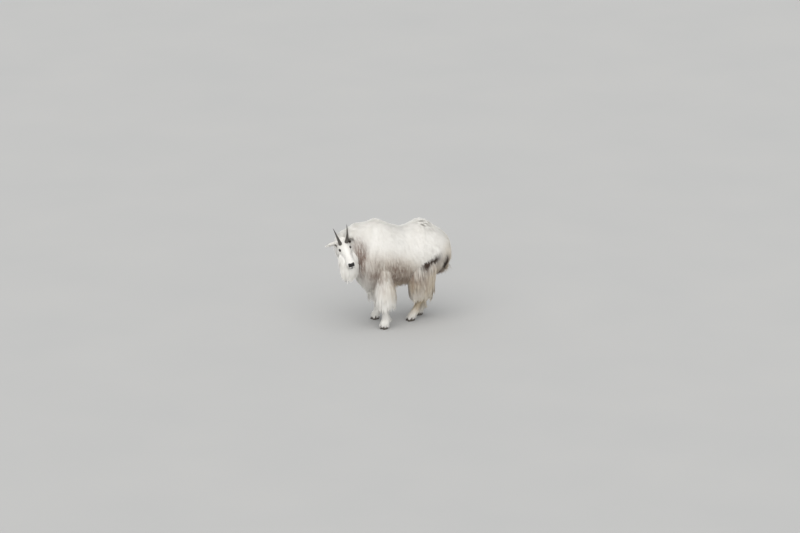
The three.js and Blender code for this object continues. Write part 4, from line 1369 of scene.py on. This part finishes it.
# Lie of the long coat: down the sides, with a part of it running back from the head to the tail, which
# is all that is left of it along the spine. Where a slope would turn it forwards, it isn't turned.
def lieOn(root, normal):
    back = mix(neckRun, -heading, ramp(root[:, :1] + middle[0], *runs["turns"]))
    down = normal * normal[:, 2:] - skyward
    down = down - back * np.minimum(dot(down, back), 0)
    stray = random.normal(0, runs["stray"], root.shape)
    return back * (runs["least"] + runs["more"] * ramp(normal[:, 2:], *runs["facing"])) + down + stray


# How far places are from the ears' middle lines
def earGap(places):
    gaps = []
    for side in sides.values():
        root = onSide(ear["at"], side)
        out = earAxes(side)[0]
        along = np.clip(dot(places - root, out), 0, ear["length"])
        gaps.append(lengthOf(places - root - out * along)[:, 0])
    return np.minimum(*gaps)


# Clumps that stand up on the rump: where along the body, how far, and from which share of the clumps
ruffle = {"at": 0.170, "reach": 0.075, "from": 0.50, "lift": 32, "longer": 0.35}
beardEnd = 0.028  # how far the beard's tips reach past its form
# Near the ears the coat is short: its share of the length, until which distance, and within which it ends
earRoom = {"trunk": (0.30, 0.10, 0.028), "head": (0.35, 0.06, 0.024)}
# The upward shares of the normal between which it gets short on top and hangs free below, the shares
# along a leg or the beard between which it turns to hang and grows long, and the chest's longer hair
longCoat = {"top": (0.15, 0.95), "below": (0.1, 0.8), "hangs": (0.2, 0.6), "grows": (0.15, 0.7)}
longCoat.update({"sag": 0.9, "chest": 0.35, "chestEnds": (0.05, 0.25)})
hemReach = {"skirt": (1.06, 0.040), "beard": (1.05, 0.030)}  # share of the way to the hem, and the least
hiddenWithin = {"head": 0.80, "body": 0.86, "skirt": 0.95}  # share of a form's reach
# The long coat of each form
for index, (name, form) in enumerate(forms.items()):
    kind = name.split("_")[0]
    count = coats[kind]["count"] // (len(legs) if kind == "skirt" else 1)
    root, normal, _ = scatter(points, quads[owner == index], count)
    seen = headForm.locate(fromHead(root))[2] >= hiddenWithin["head"]
    root, normal = root[seen], normal[seen]
    s, angle, _ = form.locate(root)
    lie = lieOn(root, normal)
    onTrunk = kind in ("trunk", "neck")
    measure = 1 - ramp(normal[:, 2], *longCoat["top"])
    longest = None
    if not onTrunk:
        lie = mix(lie, -skyward, ramp(s, *longCoat["hangs"])[:, None])
        measure = ramp(s, *longCoat["grows"])
    if kind == "skirt":
        leg = legs[name[6:]]
        hemHeight = leg["joint"][2] - tips["hind" if leg["hind"] else "front"]
    if kind == "beard":
        hemHeight = form.centres[-1, 2] - beardEnd
    if kind in hemReach:
        share, least = hemReach[kind]
        longest = np.maximum((root[:, 2] - hemHeight) * share, least)
    growth = Growth(kind, root, normal, lie, measure, index, s, angle, longest)
    under = ramp(-normal[:, 2], *longCoat["below"])
    growth.sag = growth.sag + longCoat["sag"] * under
    x = root[:, 0] + middle[0]
    if onTrunk:
        growth.length = growth.length * (1 + longCoat["chest"] * under * ramp(-x, *longCoat["chestEnds"]))
    if kind == "trunk":
        standing = np.exp(-((x - ruffle["at"]) / ruffle["reach"]) ** 2) * ramp(normal[:, 2], 0.6, 0.95)
        standing = standing * (growth.clumpTone > ruffle["from"])
        growth.lift = growth.lift + math.radians(ruffle["lift"]) * standing
        growth.clump = mix(growth.clump, 0.9, standing)
        growth.length = growth.length * (1 + ruffle["longer"] * standing)
    if onTrunk or kind == "beard":
        shortest, until, bareWithin = earRoom["trunk"]
        gap = earGap(root)
        growth.length = growth.length * mix(shortest, 1.0, ramp(gap, 0.03, until))
        growth = growth.part(gap > bareWithin)
    growths[name] = growth
    print(f"coat on the {name}: {len(growth.root)} strands")


# Share along and angle round a tube of each scattered place, by its face and its two shares there
def onTube(kind, place, crowd=1.0):
    chosen, u, v = place
    rows, columns = fineness[kind]
    t = (chosen // columns + u) / (rows - 1)
    return 1 - (1 - t) ** crowd, 2 * np.pi * (chosen % columns + v) / columns


# Whether each place lies inside one of the named forms, within this share of its reach
def covered(root, names, within):
    return np.any([forms[name].locate(root)[2] < within for name in names], 0)


# Head: short on the muzzle, longer to the cheeks, the jaw and the crown. For each of those, between which
# places forward the long hair fades, between which heights it sets in, and how much of it there is
longHair = {
    "cheek": {"fades": (0.235, 0.105), "height": (0.03, -0.03), "much": 1.0},
    "crown": {"fades": (0.085, 0.035), "height": (0.02, 0.05), "much": 0.55},
    "jaw": {"fades": (0.285, 0.205), "height": (-0.042, -0.062), "much": 0.9},
}
headPoints, headQuads, _ = headShape
places = fromHead(headPoints[headQuads].mean(1))
finer = 1 + 1.2 * ramp(places[:, 0], 0.20, 0.28) + 2.5 * ramp(places[:, 0], 0.285, 0.295)
finer = np.where(bareShare(places) > 0.5, 0, finer)
root, normal, place = scatter(headPoints, headQuads, coats["head"]["count"], finer)
s, angle = onTube("head", place, headCrowd)
f, l, up = fromHead(root).T
steep = ramp(np.abs(np.mod(angle + np.pi, 2 * np.pi) - np.pi), 0.5, 1.7)
swept = np.stack([-1 + 0.35 * steep, 0.25 * np.sign(l) * (1 - steep), -0.75 * steep], -1)
hair = {}
for area, values in longHair.items():
    hair[area] = values["much"] * ramp(f, *values["fades"]) * ramp(up, *values["height"])
measure = np.maximum.reduce(list(hair.values()))
hanging = 0.85 * np.maximum(hair["cheek"], hair["jaw"]) * (1 - ramp(f, 0.265, 0.285))
lie = mix(swept @ axesOfHead, -skyward, hanging[:, None])
growth = Growth("head", root, normal, lie, measure, tileNames.index("head"), s, angle)
growth.lift = growth.lift + math.radians(14) * hair["cheek"] * ramp(f, 0.02, 0.08)
shortest, until, bareWithin = earRoom["head"]
gap = earGap(root)
growth.length = growth.length * (1 - 0.45 * ramp(f, 0.280, 0.295))
growth.length = growth.length * mix(shortest, 1.0, ramp(gap, 0.03, until))
hidden = covered(root, ["neck", "trunk", "beard"], hiddenWithin["body"])
growths["head"] = growth.part(~hidden & (gap > bareWithin))

# Ears: out along the back and the edges, and none in the cup
for sideName, side in sides.items():
    name = f"ear_{sideName}"
    root, normal, place = scatter(*tubes[name][:2], coats["ear"]["count"] // 2)
    s, angle = onTube("ear", place)
    out, _, across = earAxes(side)
    lie = out + across * np.sin(angle)[:, None] * 0.45
    growth = Growth("ear", root, normal, lie, np.abs(np.sin(angle)) ** 3, tileNames.index(name), s, angle)
    inCup = (np.cos(angle) > 0.2) & (s > 0.10) & (s < 0.90)
    growths[name] = growth.part((headForm.locate(fromHead(root))[2] > 1.0) & ~inCup)

shankEnd = 0.88  # share of the way down a lower leg where the hoof begins
# Lower legs: short, longer behind the fetlock and over the hooves
for name in legs:
    root, normal, place = scatter(*tubes[name][:2], coats["shank"]["count"])
    s, angle = onTube("shank", place)
    rear = np.maximum(-np.cos(angle), 0)
    measure = np.maximum(rear * np.exp(-((s - 0.46) / 0.10) ** 2), ramp(s, 0.70, 0.82))
    longest = np.maximum(root[:, 2] - 0.018, 0.008)
    lie = np.broadcast_to(-skyward, root.shape)
    growth = Growth("shank", root, normal, lie, measure, tileNames.index(f"shank_{name}"), s, angle, longest)
    hidden = covered(root, [f"skirt_{name}"], hiddenWithin["skirt"])
    growths[f"shank_{name}"] = growth.part(~hidden & (s < shankEnd))
print("coat grown")

trunk = growths["trunk"]
leftSide = trunk.root[:, 1] < 0
upper = trunk.over > 0.25
coatPieces = {
    "coat_back_left": [trunk.part(leftSide & upper)],
    "coat_back_right": [trunk.part(~leftSide & upper)],
    "coat_flank_left": [trunk.part(leftSide & ~upper)],
    "coat_flank_right": [trunk.part(~leftSide & ~upper)],
    "coat_neck": [growths["neck"]],
    "coat_front_legs": [growths["skirt_front_left"], growths["skirt_front_right"]],
    "coat_hind_legs": [growths["skirt_hind_left"], growths["skirt_hind_right"]],
    "coat_head": [growths["head"]],
    "coat_beard_and_ears": [growths["beard"], growths["ear_left"], growths["ear_right"]],
    "coat_feet_and_tail": [growths[f"shank_{name}"] for name in legs] + [growths["tail"]],
}
for name, grown in coatPieces.items():
    piece = makeCoat(name, grown, coatPaint)
    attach(piece, "root")
print("coat made")

# Horns, eyes, hooves and dewclaws
for sideName, side in sides.items():
    t, angle = tubeGrid("horn")
    shape = outwards(closedTube(hornGrid(side, t, angle)))
    horn = pieceFrom(f"horn_{sideName}_ringed", shape, hornPaint)
    setMarks(horn, "grow", marksOf(shape, [*np.broadcast_to(t, fineness["horn"]).ravel(), 0, 1]))
    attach(horn, "root")
    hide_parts(f"horn_{sideName}")
    grid, seen = eyeGrid(side)
    ball = pieceFrom(f"eye_{sideName}_ball", outwards(closedTube(grid)), eyePaint)
    setMarks(ball, "look", np.concatenate([seen.reshape(-1, 3), [[0, 0, 0], [3, 0, 0]]]))
    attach(ball, "root")
    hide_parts(f"eye_{sideName}")
dewclawShapes = []
for name, leg in legs.items():
    for place, side in (("outer", leg["side"]), ("inner", -leg["side"])):
        t, angle = tubeGrid("claw")
        shape = outwards(closedTube(clawGrid(leg, side, t, angle)))
        claw = pieceFrom(f"claw_{name}_{place}", shape, hoofPaint)
        setMarks(claw, "grow", marksOf(shape, np.broadcast_to(t, fineness["claw"]).ravel()))
        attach(claw, "root")
        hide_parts(f"hoof_{name}_{place}")
        dewclawShapes.append(outwards(closedTube(dewclawGrid(leg, side, *tubeGrid("dewclaw")))))
dewclaws = pieceFrom("dewclaws", joined(dewclawShapes), hoofPaint)
setMarks(dewclaws, "grow", np.full((len(dewclaws.data.vertices), 3), 0.8))
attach(dewclaws, "root")
print("horns, eyes and hooves made")

# Floor and soft studio light
floorSize = 90.0
floorPoints = np.array([[-1, -1, 0], [1, -1, 0], [1, 1, 0], [-1, 1, 0]]) * floorSize
floorShape = (floorPoints, np.array([[0, 1, 2, 3]]), noFans)
pieceFrom("floor", floorShape, floorMaterial())
lights = {
    "sky": {"colour": (0.96, 0.98, 1.0), "strength": 0.72},
    "key": {"from": (-0.40, -0.60, 0.95), "strength": 1.7, "spread": 80, "colour": (1.0, 0.985, 0.96)},
}


def makeLights():
    sky = bpy.data.worlds.new("sky")
    scene.world = sky
    sky.use_nodes = True
    background = sky.node_tree.nodes["Background"]
    background.inputs["Color"].default_value = (*lights["sky"]["colour"], 1)
    background.inputs["Strength"].default_value = lights["sky"]["strength"]
    key = bpy.data.lights.new("key", "SUN")
    key.energy = lights["key"]["strength"]
    key.angle = math.radians(lights["key"]["spread"])
    key.color = lights["key"]["colour"]
    lamp = bpy.data.objects.new("key", key)
    lamp.rotation_euler = Vector(lights["key"]["from"]).to_track_quat("Z", "Y").to_euler()
    scene.collection.objects.link(lamp)


makeLights()
